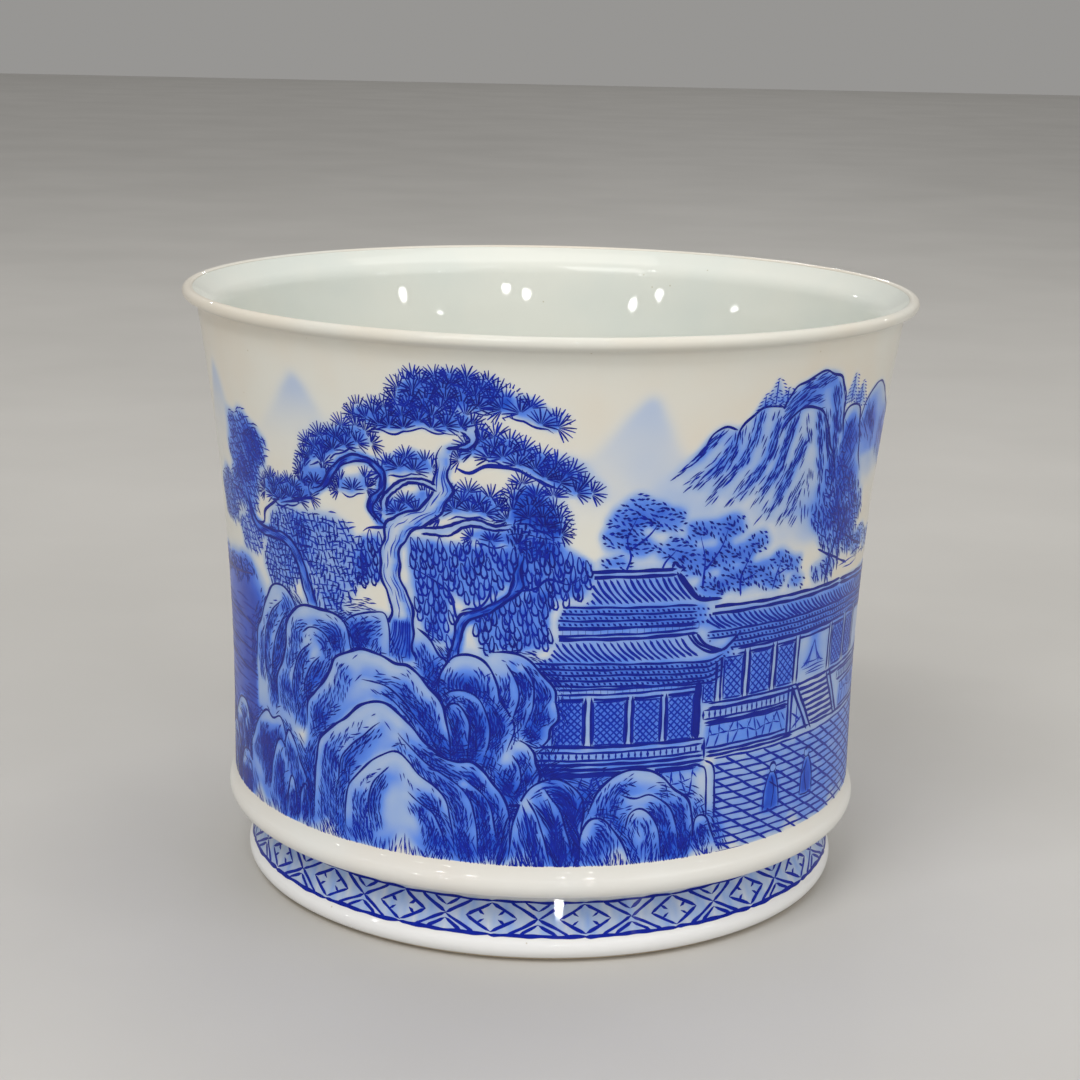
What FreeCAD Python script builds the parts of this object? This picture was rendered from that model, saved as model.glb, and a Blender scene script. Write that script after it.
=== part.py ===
"""Porcelain brush holder pot, painted in cobalt blue under a clear glaze.

A round pot with a gently flared wall, a thin turned-out lip, a rounded moulding under the wall and a low flared foot.
It is one fired piece that the potter builds from a thrown wall, a floor disc and a foot ring, joined with slip.
Two painted films and four coats of glaze lie on the clay. Each of these is a solid of its own.

Everything is turned about Z, and the origin is the centre of the ring that the pot stands on.
The solids come from one half section, drawn in the XZ plane: X is the radius and Z the height, in millimetres.
"""

import FreeCAD, Part
import math
import os

# Wall and lip
TOTAL_H = 102.1          # table to the top of the lip
LIP_R = 62.5             # outermost radius, at the lip
LIP_THICKNESS = 2.0
LIP_OUTER_FILLET = 0.8   # rounding of the corner under the lip
LIP_INNER_FILLET = 4.0   # rounding of the corner above the inner wall
WALL_R = 54.65           # outer radius of the straight lower wall
WALL_THICKNESS = 3.3     # of the straight lower wall, glaze included
FLARE_START_Z = 30.0     # the wall is straight below this and flares above it
OUTER_FLARE_END_Z = 98.7
INNER_FLARE_END_Z = 96.4
FLARE_ARC_R = 440.0      # radius of the long arc that flares the wall

# Moulding and neck
MOULDING_R = 55.75       # outermost radius of the rounded moulding
MOULDING_Z = 14.35       # height of that outermost point
MOULDING_ROUND = 2.35    # radius of its rounding
MOULDING_TOP_Z = 17.8    # where it has run out into the wall
NECK_R = 48.9            # the narrow place between moulding and foot
NECK_Z = 10.7

# Foot
FOOT_R = 52.4            # outermost radius of the foot's rounded rim
FOOT_RIM_Z = 2.5         # height of that outermost point
FOOT_RIM_ROUND = 2.0     # radius of the rim's rounding
STAND_OUT_R = 50.2       # the pot stands on a flat unglazed ring from here
STAND_IN_R = 47.2        # in to here
STAND_BARE_Z = 0.8       # the glaze stops this far above the table
RECESS_LOW_R = 46.6      # radius of the hollow under the pot, where its glaze stops
RECESS_TOP_R = 44.6      # and at its ceiling
RECESS_TOP_Z = 10.4      # height of that ceiling
RECESS_FILLET = 2.0

# Floor inside
FLOOR_Z = 16.0           # where brush ends rest
FLOOR_FILLET = 5.0

# Layers
GLAZE = 0.3              # thickness of the clear glaze
FILM = 0.1               # thickness of a painted film, under the glaze
SLIP = 0.4               # thickness of the slip in each joint
DISC_R = 49.4            # radius of the floor disc, inside its slip
PAINTING_Z = (18.2, 96.6)   # lower and upper edge of the landscape
BAND_Z = (4.6, 9.4)         # lower and upper edge of the foot's painted band

FAR = 200.0              # larger than the pot, to bound open regions


def point(r, z):
    return FreeCAD.Vector(r, 0, z)


def on_circle(centre, radius, degrees):
    """A point on a circle in the section. Angles run from +X towards +Z."""
    angle = math.radians(degrees)
    return centre + point(radius * math.cos(angle), radius * math.sin(angle))


def line(a, b):
    return Part.LineSegment(a, b).toShape()


def arc(centre, radius, start, end):
    """An arc from start to end degrees."""
    spots = [on_circle(centre, radius, degrees) for degrees in (start, (start + end) / 2, end)]
    return Part.Arc(*spots).toShape()


def corner_arc(before, corner, after, radius):
    """The arc that rounds the corner between two straight lines."""
    towards_before = (before - corner).normalize()
    towards_after = (after - corner).normalize()
    half_angle = towards_before.getAngle(towards_after) / 2
    setback = radius / math.tan(half_angle)
    bisector = (towards_before + towards_after).normalize()
    middle = corner + bisector * (radius / math.sin(half_angle) - radius)
    return Part.Arc(corner + towards_before * setback, middle, corner + towards_after * setback).toShape()


def chain(pieces):
    """Join points and arcs, in order, into one closed wire, with straight lines between them."""
    spans = []
    for piece in pieces:
        if isinstance(piece, FreeCAD.Vector):
            spans.append((piece, piece, None))
        else:
            spans.append((piece.Vertexes[0].Point, piece.Vertexes[-1].Point, piece))
    edges = []
    for (start, end, edge), following in zip(spans, spans[1:] + spans[:1]):
        if edge:
            edges.append(edge)
        if end.distanceToPoint(following[0]) > 1e-6:
            edges.append(line(end, following[0]))
    return Part.Wire(edges)


def wall_point(z, depth=0.0):
    """A point of the wall at height z, at a depth behind its outer surface."""
    arc_r = FLARE_ARC_R + depth
    return point(WALL_R + FLARE_ARC_R - math.sqrt(arc_r**2 - (z - FLARE_START_Z) ** 2), z)


def wall_arc(start_z, end_z, depth=0.0):
    return Part.Arc(*[wall_point(z, depth) for z in (start_z, (start_z + end_z) / 2, end_z)]).toShape()


def glazed_section():
    """The whole pot's section, glaze included. It runs past the axis, so that an offset is true there."""
    ceiling = point(-FLOOR_FILLET, RECESS_TOP_Z)
    recess_corner = point(RECESS_TOP_R, RECESS_TOP_Z)
    recess_foot = point(RECESS_LOW_R, STAND_BARE_Z)
    foot_rim = point(FOOT_R - FOOT_RIM_ROUND, FOOT_RIM_Z)
    moulding = point(MOULDING_R - MOULDING_ROUND, MOULDING_Z)
    floor_corner = point(WALL_R - WALL_THICKNESS - FLOOR_FILLET, FLOOR_Z + FLOOR_FILLET)

    lip_round = LIP_THICKNESS / 2
    lip = point(LIP_R - lip_round, TOTAL_H - lip_round)
    lip_start, lip_end = -55, 148
    outer_top = wall_point(OUTER_FLARE_END_Z)
    under_lip = corner_arc(
        outer_top, outer_top + point(0.2, 0.85), on_circle(lip, lip_round, lip_start), LIP_OUTER_FILLET
    )
    inner_top = wall_point(INNER_FLARE_END_Z, WALL_THICKNESS)
    inside_lip = corner_arc(
        on_circle(lip, lip_round, lip_end), inner_top + point(0.35, 2.2), inner_top, LIP_INNER_FILLET
    )

    return chain([
        ceiling,
        corner_arc(ceiling, recess_corner, recess_foot, RECESS_FILLET),
        recess_foot,
        point(STAND_IN_R, 0),
        point(STAND_OUT_R, 0),
        arc(foot_rim, FOOT_RIM_ROUND, -70, 38),
        point(NECK_R, NECK_Z),
        arc(moulding, MOULDING_ROUND, -84, 38),
        point(WALL_R, MOULDING_TOP_Z),
        wall_arc(FLARE_START_Z, OUTER_FLARE_END_Z),
        under_lip,
        arc(lip, lip_round, lip_start, lip_end),
        inside_lip,
        wall_arc(INNER_FLARE_END_Z, FLARE_START_Z, WALL_THICKNESS),
        arc(floor_corner, FLOOR_FILLET, 0, -90),
        point(-FLOOR_FILLET, FLOOR_Z),
    ])


def region(corners):
    """A filled polygon in the section's plane."""
    return Part.Face(chain([point(r, z) for r, z in corners]))


def block(r_range, z_range):
    """A filled rectangle in the section's plane."""
    (r0, r1), (z0, z1) = r_range, z_range
    return region([(r0, z0), (r1, z0), (r1, z1), (r0, z1)])


def inset(section, depth):
    """The section with its whole surface moved inwards."""
    mitred = 2
    return section.makeOffset2D(-depth, mitred)


def inner_side():
    """Everything nearer to the pot's inside than a line that runs within its floor and wall, up to the lip."""
    floor_middle_z = (FLOOR_Z + RECESS_TOP_Z) / 2
    depth = 0.75 * WALL_THICKNESS
    low = wall_point(FLARE_START_Z, depth)
    high = wall_point(INNER_FLARE_END_Z, depth)
    lip_shoulder = point(LIP_R - LIP_THICKNESS, TOTAL_H - 0.7 * LIP_THICKNESS)
    return region([
        (0, floor_middle_z), (low.x, floor_middle_z), (low.x, low.z), (high.x, high.z),
        (lip_shoulder.x, lip_shoulder.z), (lip_shoulder.x, FAR), (0, FAR),
    ])


def sections():
    """The half section of every solid, by name."""
    half = block((0, FAR), (0, FAR))
    inside = inner_side()
    outside = half.cut(inside)
    foot_split_r = (STAND_IN_R + NECK_R) / 2

    whole = Part.Face(glazed_section())
    glazed = whole.common(half)
    glaze = glazed.cut(inset(whole, GLAZE)).cut(block((0, FAR), (0, STAND_BARE_Z)))
    unglazed = glazed.cut(glaze)

    painted_skin = unglazed.cut(inset(whole, GLAZE + FILM)).common(outside)
    landscape = painted_skin.common(block((foot_split_r, FAR), PAINTING_Z))
    band = painted_skin.common(block((foot_split_r, FAR), BAND_Z))
    clay = unglazed.cut(landscape).cut(band)

    foot_slip = clay.common(block((RECESS_TOP_R - RECESS_FILLET, FAR), (NECK_Z, NECK_Z + SLIP)))
    pot_clay = clay.common(block((0, FAR), (NECK_Z, FAR))).cut(foot_slip)
    return {
        "body_wall": pot_clay.common(block((DISC_R + SLIP, FAR), (0, FAR))),
        "floor_disc": pot_clay.common(block((0, DISC_R), (0, FAR))),
        "foot_ring": clay.common(block((0, FAR), (0, NECK_Z))),
        "wall_joint_slip": pot_clay.common(block((DISC_R, DISC_R + SLIP), (0, FAR))),
        "foot_joint_slip": foot_slip,
        "landscape_painting": landscape,
        "foot_band_painting": band,
        "inner_glaze": glaze.common(inside),
        "outer_glaze": glaze.common(outside).common(block((foot_split_r, FAR), (NECK_Z, FAR))),
        "foot_glaze": glaze.common(block((foot_split_r, FAR), (0, NECK_Z))),
        "underside_glaze": glaze.common(outside).common(block((0, foot_split_r), (0, NECK_Z))),
    }


def turn(section):
    """The solid that a half section sweeps about the Z axis."""
    solid = section.Faces[0].revolve(FreeCAD.Vector(0, 0, 0), FreeCAD.Vector(0, 0, 1), 360)
    if solid.Volume < 0:
        solid.reverse()
    return solid


os.makedirs("parts", exist_ok=True)
for name, section in sections().items():
    solid = turn(section)
    solid.exportStep(f"parts/{name}.step")
    print(f"{name}: {solid.Volume:.0f} mm3, valid {solid.isValid()}, pieces {len(section.Faces)}")
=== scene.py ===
"""Porcelain brush pot with a landscape painted in cobalt blue under a clear glaze.

The painting is made first, as plain numbers: brush strokes and a map of washes, on the pot's unrolled wall.
A place on the wall is (s, z) in millimetres: s runs right from the middle of the front, z is the height.
Then the strokes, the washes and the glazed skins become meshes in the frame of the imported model.
"""

import math
from collections import namedtuple

import bmesh
import bpy
import numpy as np
from mathutils import Euler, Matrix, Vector


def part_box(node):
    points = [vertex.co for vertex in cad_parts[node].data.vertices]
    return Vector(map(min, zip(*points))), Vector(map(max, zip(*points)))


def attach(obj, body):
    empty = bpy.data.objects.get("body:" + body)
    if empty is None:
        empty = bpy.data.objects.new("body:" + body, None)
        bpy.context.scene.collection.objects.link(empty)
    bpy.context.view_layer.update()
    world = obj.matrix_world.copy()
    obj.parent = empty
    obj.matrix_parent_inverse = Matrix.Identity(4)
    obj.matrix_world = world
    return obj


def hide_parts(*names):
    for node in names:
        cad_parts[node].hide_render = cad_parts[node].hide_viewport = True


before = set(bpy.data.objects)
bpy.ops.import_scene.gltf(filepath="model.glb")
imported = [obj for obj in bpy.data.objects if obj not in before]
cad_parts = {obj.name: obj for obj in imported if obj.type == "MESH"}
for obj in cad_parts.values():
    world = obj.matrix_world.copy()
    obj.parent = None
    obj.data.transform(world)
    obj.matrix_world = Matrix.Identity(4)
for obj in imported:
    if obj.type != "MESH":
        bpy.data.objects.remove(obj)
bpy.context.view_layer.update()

MM = 0.001

# ---------------------------------------------------------------- The pot's shape, in millimetres


def top_of(node):
    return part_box(node)[1][2] / MM


def bottom_of(node):
    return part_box(node)[0][2] / MM


def radius_of(node):
    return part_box(node)[1][0] / MM


TOTAL_H = top_of("outer_glaze")
LIP_R = radius_of("outer_glaze")
GLAZE = LIP_R - radius_of("body_wall")
FLOOR_Z = bottom_of("inner_glaze") + GLAZE
NECK_Z = top_of("foot_ring")
STAND_BARE_Z = bottom_of("foot_glaze")
PAINTING_Z = (bottom_of("landscape_painting"), top_of("landscape_painting"))
BAND_Z = (bottom_of("foot_band_painting"), top_of("foot_band_painting"))

WALL_R = 54.65           # outer radius of the straight lower wall
WALL_THICKNESS = 3.3
FLARE_START_Z = 30.0     # the wall is straight below this and flares above it
FLARE_ARC_R = 440.0
OUTER_FLARE_END_Z = 98.7
INNER_FLARE_END_Z = 96.4
LIP_ROUND = 1.0
LIP_OUTER_FILLET = 0.8
LIP_INNER_FILLET = 4.0
FLOOR_FILLET = 5.0
MOULDING = (53.4, 14.35)   # radius and height of the centre of the moulding's rounding
MOULDING_ROUND = 2.35
MOULDING_TOP_Z = 17.8
NECK_R = 48.9
FOOT_RIM = (50.4, 2.5)     # radius and height of the centre of the rim's rounding
FOOT_RIM_ROUND = 2.0
RECESS_LOW_R = 46.6        # radius of the hollow under the pot, where its glaze stops
RECESS_TOP_R = 44.6
RECESS_TOP_Z = 10.4
RECESS_FILLET = 2.0
ROUNDS_END = 38            # degrees up, where the roundings of rim and moulding run out above


def wall_r(z, depth=0.0):
    """Radius of the wall at height z, at a depth behind its outer surface."""
    rise = np.maximum(np.asarray(z, float) - FLARE_START_Z, 0)
    return WALL_R + FLARE_ARC_R - np.sqrt((FLARE_ARC_R + depth) ** 2 - rise**2)


# ---------------------------------------------------------------- Brush and wash

UNROLL_R = 55.0                          # s is measured on a cylinder of this radius
HALF_TURN = math.pi * UNROLL_R           # the painting runs from -HALF_TURN to HALF_TURN
WASH_CELL = 0.4                          # size of the wash map's cells
WASH_COLS = round(2 * HALF_TURN / WASH_CELL)
WASH_Z = (16.0, 98.4)
WASH_ROWS = round((WASH_Z[1] - WASH_Z[0]) / WASH_CELL)

# The sections of some strokes: the two edges and the tone of each, whether it joins on to the next one,
# and the low and high corners of the rectangle about them.
Strip = namedtuple("Strip", "edges tones joined low high")

rng = np.random.RandomState(20)
inks = {}                                # the strips of each group of strokes, by name
density = np.zeros((WASH_ROWS, WASH_COLS))
col_s = (np.arange(WASH_COLS) + 0.5) * 2 * HALF_TURN / WASH_COLS - HALF_TURN
row_z = (np.arange(WASH_ROWS) + 0.5) * (WASH_Z[1] - WASH_Z[0]) / WASH_ROWS + WASH_Z[0]


def curve(points, step=0.5):
    """Even samples along a smooth line through a few points."""
    p = np.asarray(points, float)
    if len(p) > 2:
        padded = np.vstack([2 * p[0] - p[1], p, 2 * p[-1] - p[-2]])
        t = np.linspace(0, 1, 16, endpoint=False)[:, None]
        spans = []
        for a, b, c, d in zip(padded, padded[1:], padded[2:], padded[3:]):
            square = (2 * a - 5 * b + 4 * c - d) * t**2
            cube = (3 * b - a - 3 * c + d) * t**3
            spans.append(0.5 * (2 * b + (c - a) * t + square + cube))
        p = np.vstack(spans + [p[-1:]])
    travel = np.concatenate([[0], np.cumsum(np.hypot(*np.diff(p, axis=0).T))])
    count = max(2, round(travel[-1] / step) + 1)
    at = np.linspace(0, travel[-1], count)
    return np.column_stack([np.interp(at, travel, p[:, 0]), np.interp(at, travel, p[:, 1])])


def onward(path):
    """Unit vectors on the way along each path, shape (..., sections, 2)."""
    step = np.gradient(path, axis=-2)
    return step / np.maximum(np.linalg.norm(step, axis=-1, keepdims=True), 1e-9)


def sideways(path):
    """Unit vectors to the left of the way along each path."""
    way = onward(path)
    return np.stack([-way[..., 1], way[..., 0]], -1)


def ribbons(ink, paths, widths, tones):
    """Brush strokes along centre lines, shape (strokes, sections, 2), with a width at each section."""
    paths = np.asarray(paths, float)
    widths = np.broadcast_to(widths, paths.shape[:2])
    tones = np.broadcast_to(np.reshape(tones, (-1, 1)), paths.shape[:2])
    half = sideways(paths) * widths[..., None] / 2
    joined = np.ones(paths.shape[:2], bool)
    joined[:, -1] = False
    edges = np.stack([paths + half, paths - half], 2).reshape(-1, 2, 2)
    strip = Strip(edges, tones.ravel(), joined.ravel(), paths.min((0, 1)), paths.max((0, 1)))
    inks.setdefault(ink, []).append(strip)


def pressed(sections, head, tail, tip=0.15):
    """How the brush presses along a stroke: it swells over the head and thins over the tail to its tip."""
    t = np.linspace(0, 1, sections)
    swell = np.minimum(1, 0.15 + t / max(head, 1e-3))
    thin = np.minimum(1, tip + (1 - t) / max(tail, 1e-3))
    return swell * thin


def brush(ink, points, width=0.4, tone=0.95, head=0.06, tail=0.08, step=0.5, shake=0.04):
    """One long stroke through a few points, a little uneven like a hand's."""
    path = curve(points, step)
    n = len(path)
    travel = np.arange(n) * step
    phase = rng.uniform(0, 6.28, 4)
    uneven = 1 + 0.16 * np.sin(travel / 1.3 + phase[0]) + 0.1 * np.sin(travel / 0.55 + phase[1])
    offset = shake * (np.sin(travel / 0.9 + phase[2]) + np.sin(travel / 2.3 + phase[3]))
    path = path + sideways(path) * offset[:, None]
    ribbons(ink, path[None], (width * uneven * pressed(n, head, tail))[None], tone)


def dashes(ink, start, heading, length, width=0.2, tone=0.85, bend=0.0, head=0.3, tail=0.6, sections=4,
           tip=0.15):
    """Many short strokes at once. The heading is in radians, and bend turns it over the stroke's length."""
    start = np.atleast_2d(start)
    n = len(start)
    if n == 0:
        return
    heading, length, width, tone, bend = (np.broadcast_to(v, n) for v in (heading, length, width, tone, bend))
    t = (np.arange(sections - 1) + 0.5) / (sections - 1)
    angle = heading[:, None] + bend[:, None] * t
    steps = np.stack([np.cos(angle), np.sin(angle)], -1) * (length / (sections - 1))[:, None, None]
    path = np.concatenate([start[:, None], start[:, None] + np.cumsum(steps, 1)], 1)
    ribbons(ink, path, width[:, None] * pressed(sections, head, tail, tip), tone)


def inside(points, outline):
    """Which points, shape (..., 2), lie within a closed outline."""
    x, y = points[..., 0], points[..., 1]
    hit = np.zeros(x.shape, bool)
    for (x0, y0), (x1, y1) in zip(outline, np.roll(outline, -1, 0)):
        if y0 != y1:
            hit ^= ((y0 > y) != (y1 > y)) & (x < (x1 - x0) * (y - y0) / (y1 - y0) + x0)
    return hit


def soften(mask, cells):
    """Blurs a map by about that many cells."""
    reach = max(1, round(cells))
    for axis in (0, 1):
        for _ in range(2):
            pad = [(0, 0), (0, 0)]
            pad[axis] = (reach + 1, reach)
            total = np.cumsum(np.pad(mask, pad), axis)
            ahead = np.take(total, range(2 * reach + 1, total.shape[axis]), axis)
            behind = np.take(total, range(0, total.shape[axis] - 2 * reach - 1), axis)
            mask = (ahead - behind) / (2 * reach + 1)
    return mask


def window_on(low, high):
    """The part of the wash map about a rectangle, across the seam too: where it is kept, and its places."""
    first, last = np.floor((np.array([low[0], high[0]]) + HALF_TURN) / WASH_CELL).astype(int)
    cols = np.arange(first, last + 1)
    rows = np.flatnonzero((row_z > low[1]) & (row_z < high[1]))
    s, z = np.meshgrid((cols + 0.5) * WASH_CELL - HALF_TURN, row_z[rows])
    return np.ix_(rows, cols % WASH_COLS), s, z


def wash(outline, strength, soft=0.6, fade=None, clear=False, mottle=0.25):
    """Lays a wash of thinned colour inside an outline. With fade=(a, b) it is full at a and gone at b."""
    outline = np.asarray(outline, float)
    margin = 3 * soft + WASH_CELL
    part, s, z = window_on(outline.min(0) - margin, outline.max(0) + margin)
    if s.size == 0:
        return
    mask = soften(inside(np.stack([s, z], -1), outline).astype(float), soft / WASH_CELL)
    below = density[part]
    if clear:
        below = below * (1 - mask)
    if fade:
        (s0, z0), (s1, z1) = fade
        way = ((s - s0) * (s1 - s0) + (z - z0) * (z1 - z0)) / ((s1 - s0) ** 2 + (z1 - z0) ** 2)
        mask = mask * np.clip(1 - way, 0, 1)
    coarse = rng.uniform(-1, 1, s.shape)
    mask = mask * (1 + mottle * np.clip(4 * soften(coarse, 3), -1, 1))
    density[part] = 1 - (1 - below) * (1 - np.clip(strength * mask, 0, 1))


def tint(points, strengths, each, soft=0.6):
    """Lays a wash of varying strength: every point colours an area of that many square millimetres."""
    margin = 3 * soft + WASH_CELL
    part, s, z = window_on(points.min(0) - margin, points.max(0) + margin)
    if s.size == 0:
        return
    across = np.append(s[0] - WASH_CELL / 2, s[0, -1] + WASH_CELL / 2)
    up = np.append(z[:, 0] - WASH_CELL / 2, z[-1, 0] + WASH_CELL / 2)
    amount, _, _ = np.histogram2d(points[:, 1], points[:, 0], bins=(up, across), weights=strengths * each)
    mask = soften(amount / WASH_CELL**2, soft / WASH_CELL)
    density[part] = 1 - (1 - density[part]) * (1 - np.clip(mask, 0, 0.95))


def cover(outline, paper=0.0, soft=0.3):
    """Leaves an area bare for something nearer: strokes and washes already there are taken away."""
    outline = np.asarray(outline, float)
    low, high = outline.min(0), outline.max(0)
    for strips in inks.values():
        for strip in strips:
            if (strip.low > high).any() or (strip.high < low).any():
                continue
            centres = strip.edges.mean(1)
            middle = (centres + np.roll(centres, -1, 0)) / 2
            near = np.flatnonzero(strip.joined & (middle > low).all(1) & (middle < high).all(1))
            strip.joined[near[inside(middle[near], outline)]] = False
    wash(outline, paper, soft, clear=True)


def hoop(ink, outline, width, **press):
    """A stroke round a closed outline."""
    brush(ink, np.vstack([outline[::4], outline[:1]]), width, **press)


def blob(s, z, width, height, lobes=0, depth=0.12, turn=0.0):
    """A rounded closed outline, with a lobed edge if asked."""
    a = np.linspace(0, 2 * math.pi, 48, endpoint=False)
    r = 1 + depth * np.sin(lobes * a + turn) if lobes else np.ones_like(a)
    return np.column_stack([s + width / 2 * r * np.cos(a), z + height / 2 * r * np.sin(a)])


def box(s0, s1, z0, z1):
    return np.array([(s0, z0), (s1, z0), (s1, z1), (s0, z1)], float)


def scatter(outline, spacing, jitter=0.4):
    """Staggered points that fill an outline."""
    outline = np.asarray(outline, float)
    low, high = outline.min(0), outline.max(0)
    rows = np.arange(low[1], high[1], spacing * 0.87)
    points = []
    for i, z in enumerate(rows):
        s = np.arange(low[0] + (i % 2) * spacing / 2, high[0], spacing)
        points.append(np.column_stack([s, np.full_like(s, z)]))
    points = np.vstack(points)
    points += rng.uniform(-jitter, jitter, points.shape) * spacing
    return points[inside(points, outline)]


def spread(n, middle, part=0.2):
    """n values about a middle one."""
    return middle * rng.uniform(1 - part, 1 + part, n)


def smooth(value, low, high):
    """0 below low, 1 above high, and an easy slope between."""
    t = np.clip((value - low) / (high - low), 0, 1)
    return t * t * (3 - 2 * t)


# ---------------------------------------------------------------- Rocks and mountains

PATH_STEP = 0.25                         # between the samples of a fold's line


def hatch(ink, path, u, distances, chances, lean, spacing, length, crown, gap, tone, width):
    """Rows of short strokes beside a path, at the distances given, running downhill from its crown.

    u is the share of the path at each of its samples, and a chance is the share of strokes that a row keeps.
    """
    way_along = onward(path)
    side = -sideways(path)
    stride = max(1, round(spacing / PATH_STEP))
    for distance, chance in zip(distances, chances):
        pick = np.arange(rng.randint(0, stride), len(path), stride)
        fall = smooth(np.abs(u[pick] - crown), gap * 0.6, gap + 0.16)
        pick = pick[rng.uniform(0, 1, len(pick)) < chance * (0.06 + 0.94 * fall)]
        n = len(pick)
        if n == 0:
            continue
        way = np.where(u[pick] < crown, -1, 1)[:, None]
        lean_now = lean * rng.uniform(0.75, 1.25, n)[:, None]
        heading = way_along[pick] * way * np.cos(lean_now) + side[pick] * np.sin(lean_now)
        base = path[pick] + side[pick] * (distance + rng.uniform(-0.22, 0.22, n) * spacing)[:, None]
        dashes(ink, base, np.arctan2(heading[:, 1], heading[:, 0]), spread(n, length, 0.35),
               spread(n, width, 0.2), spread(n, tone, 0.1), bend=-0.2 * way[:, 0])


def ridge(ink, points, crease=0.7, reach=2.0, light=0.26, bright=1.5, near=1.2, far=5.0, shadow=0.5,
          crown=0.5, gap=0.08, lean=0.35, line=0.42, spacing=0.56, length=1.35, width=0.22, tone=0.87,
          dense=0.95):
    """One fold of rock: a dark line, hatched on its outer side, bright just inside and shaded further in."""
    path = curve(points, PATH_STEP)
    u = np.linspace(0, 1, len(path))
    side = -sideways(path)
    fall = smooth(np.abs(u - crown), gap * 0.4, gap + 0.3)
    wave = 1 + 0.25 * np.sin(np.arange(len(path)) * 0.21 + rng.uniform(0, 6)) - 0.5 * fall
    if crease:
        for distance in np.arange(0.1, reach + 1.2, 0.4):
            strength = crease * (0.3 + 0.7 * fall) * (1 - distance / (reach + 1.2))
            tint(path - side * distance, strength, 0.1, 0.45)
        rows = np.arange(0.35, reach, spacing * 0.95)
        hatch(ink, path, u, -rows, 0.85 - 0.5 * rows / reach, -0.3, spacing, length, crown, gap, tone + 0.05,
              width)
    cover(np.vstack([path, (path + side * (bright * wave)[:, None])[::-1]]), light, 0.35)
    inner = np.arange(0, 1, 0.4 / max(0.4, far - near))
    for share in inner if far > near > 0 else ():
        distance = near * wave + (far - near * wave) * share
        strength = shadow * (0.15 + 0.85 * fall) * math.sin(math.pi * min(1.0, 0.15 + 0.7 * share))
        tint(path + side * distance[:, None], strength, 0.1, 0.7)
    rows = np.arange(near * 0.6, far, spacing * 1.2)
    depth = np.clip((rows - near) / max(far - near, 0.1), 0, 1)
    chances = dense * smooth(rows, near * 0.2, near * 1.3) * (1 - 0.4 * depth)
    hatch(ink, path, u, rows, chances, lean, spacing, length, crown, gap, tone, width)
    brush(ink, points, line, 0.97, 0.12, 0.2, shake=0.06)


def fold(points, **texture):
    """A lesser fold on a rock's face, for rock() to draw."""
    plain = dict(crease=0.55, reach=1.5, near=0.9, far=3.4, line=0.3, crown=0.0, gap=0.02, bright=1.1,
                 shadow=0.42)
    return points, {**plain, **texture}


def groove(points, reach, **texture):
    """A fold that is shaded on its outer side only."""
    return fold(points, reach=reach, far=0.9, shadow=0, **texture)


def rock(ink, contour, foot=None, folds=(), pale=0.32, **texture):
    """A rounded rock: all under its contour is cleared, then each of its folds is drawn, the nearest last."""
    edge = curve(contour, 0.5)
    area = edge
    if foot is not None:
        area = np.vstack([edge, (edge[-1, 0], foot), (edge[0, 0], foot)])
    cover(area, pale)
    ridge(ink, contour, **texture)
    for points, options in folds:
        ridge(ink, points, **options)


def crag(ink, contour, foot, folds=(), **texture):
    """A distant mountain whose strokes flow down its flanks."""
    flow = dict(crease=0, near=0.9, far=8, bright=0.8, light=0.18, spacing=0.8, length=2.2, lean=0.8,
                width=0.22, tone=0.84, dense=0.66, gap=0.06, line=0.45, shadow=0.55, pale=0.22)
    rock(ink, contour, foot, folds, **{**flow, **texture})


def flank(ink, outline, spines, pale=0.24, spacing=0.57, length=1.7, reach=2.2, shade=0.8):
    """A mountainside of strokes down its spines, close on the outer side of each and few on the inner."""
    cover(outline, pale, 0.5)
    paths = [curve(points, 0.4) for points in spines]
    spots = np.vstack(paths)
    ways = np.vstack([onward(path) for path in paths])
    shares = np.concatenate([np.linspace(0, 1, len(path)) for path in paths])
    points = scatter(outline, spacing, 0.4)
    nearest = np.linalg.norm(points[:, None] - spots[None], axis=2).argmin(1)
    way, offset = ways[nearest], points - spots[nearest]
    inward = (way[:, 0] * offset[:, 1] - way[:, 1] * offset[:, 0]) * np.where(way[:, 0] < 0, 1, -1)
    dark = np.where(inward < 0, 1 - 0.7 * np.clip(-inward / reach, 0, 1),
                    0.06 + 0.34 * smooth(inward, 0.8, reach))
    tint(points, shade * dark**2 * (1 - 0.75 * smooth(shares[nearest], 0.55, 1)), 0.87 * spacing**2, 0.65)
    dark *= 1 - 0.5 * smooth(shares[nearest], 0.6, 1)
    keep = rng.uniform(0, 1, len(points)) < dark
    n = keep.sum()
    heading = np.arctan2(way[:, 1], way[:, 0])[keep] + rng.normal(0, 0.08, n)
    dashes(ink, points[keep], heading, spread(n, length, 0.35), spread(n, 0.23), spread(n, 0.86, 0.1),
           head=0.25, tail=0.5)


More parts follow.
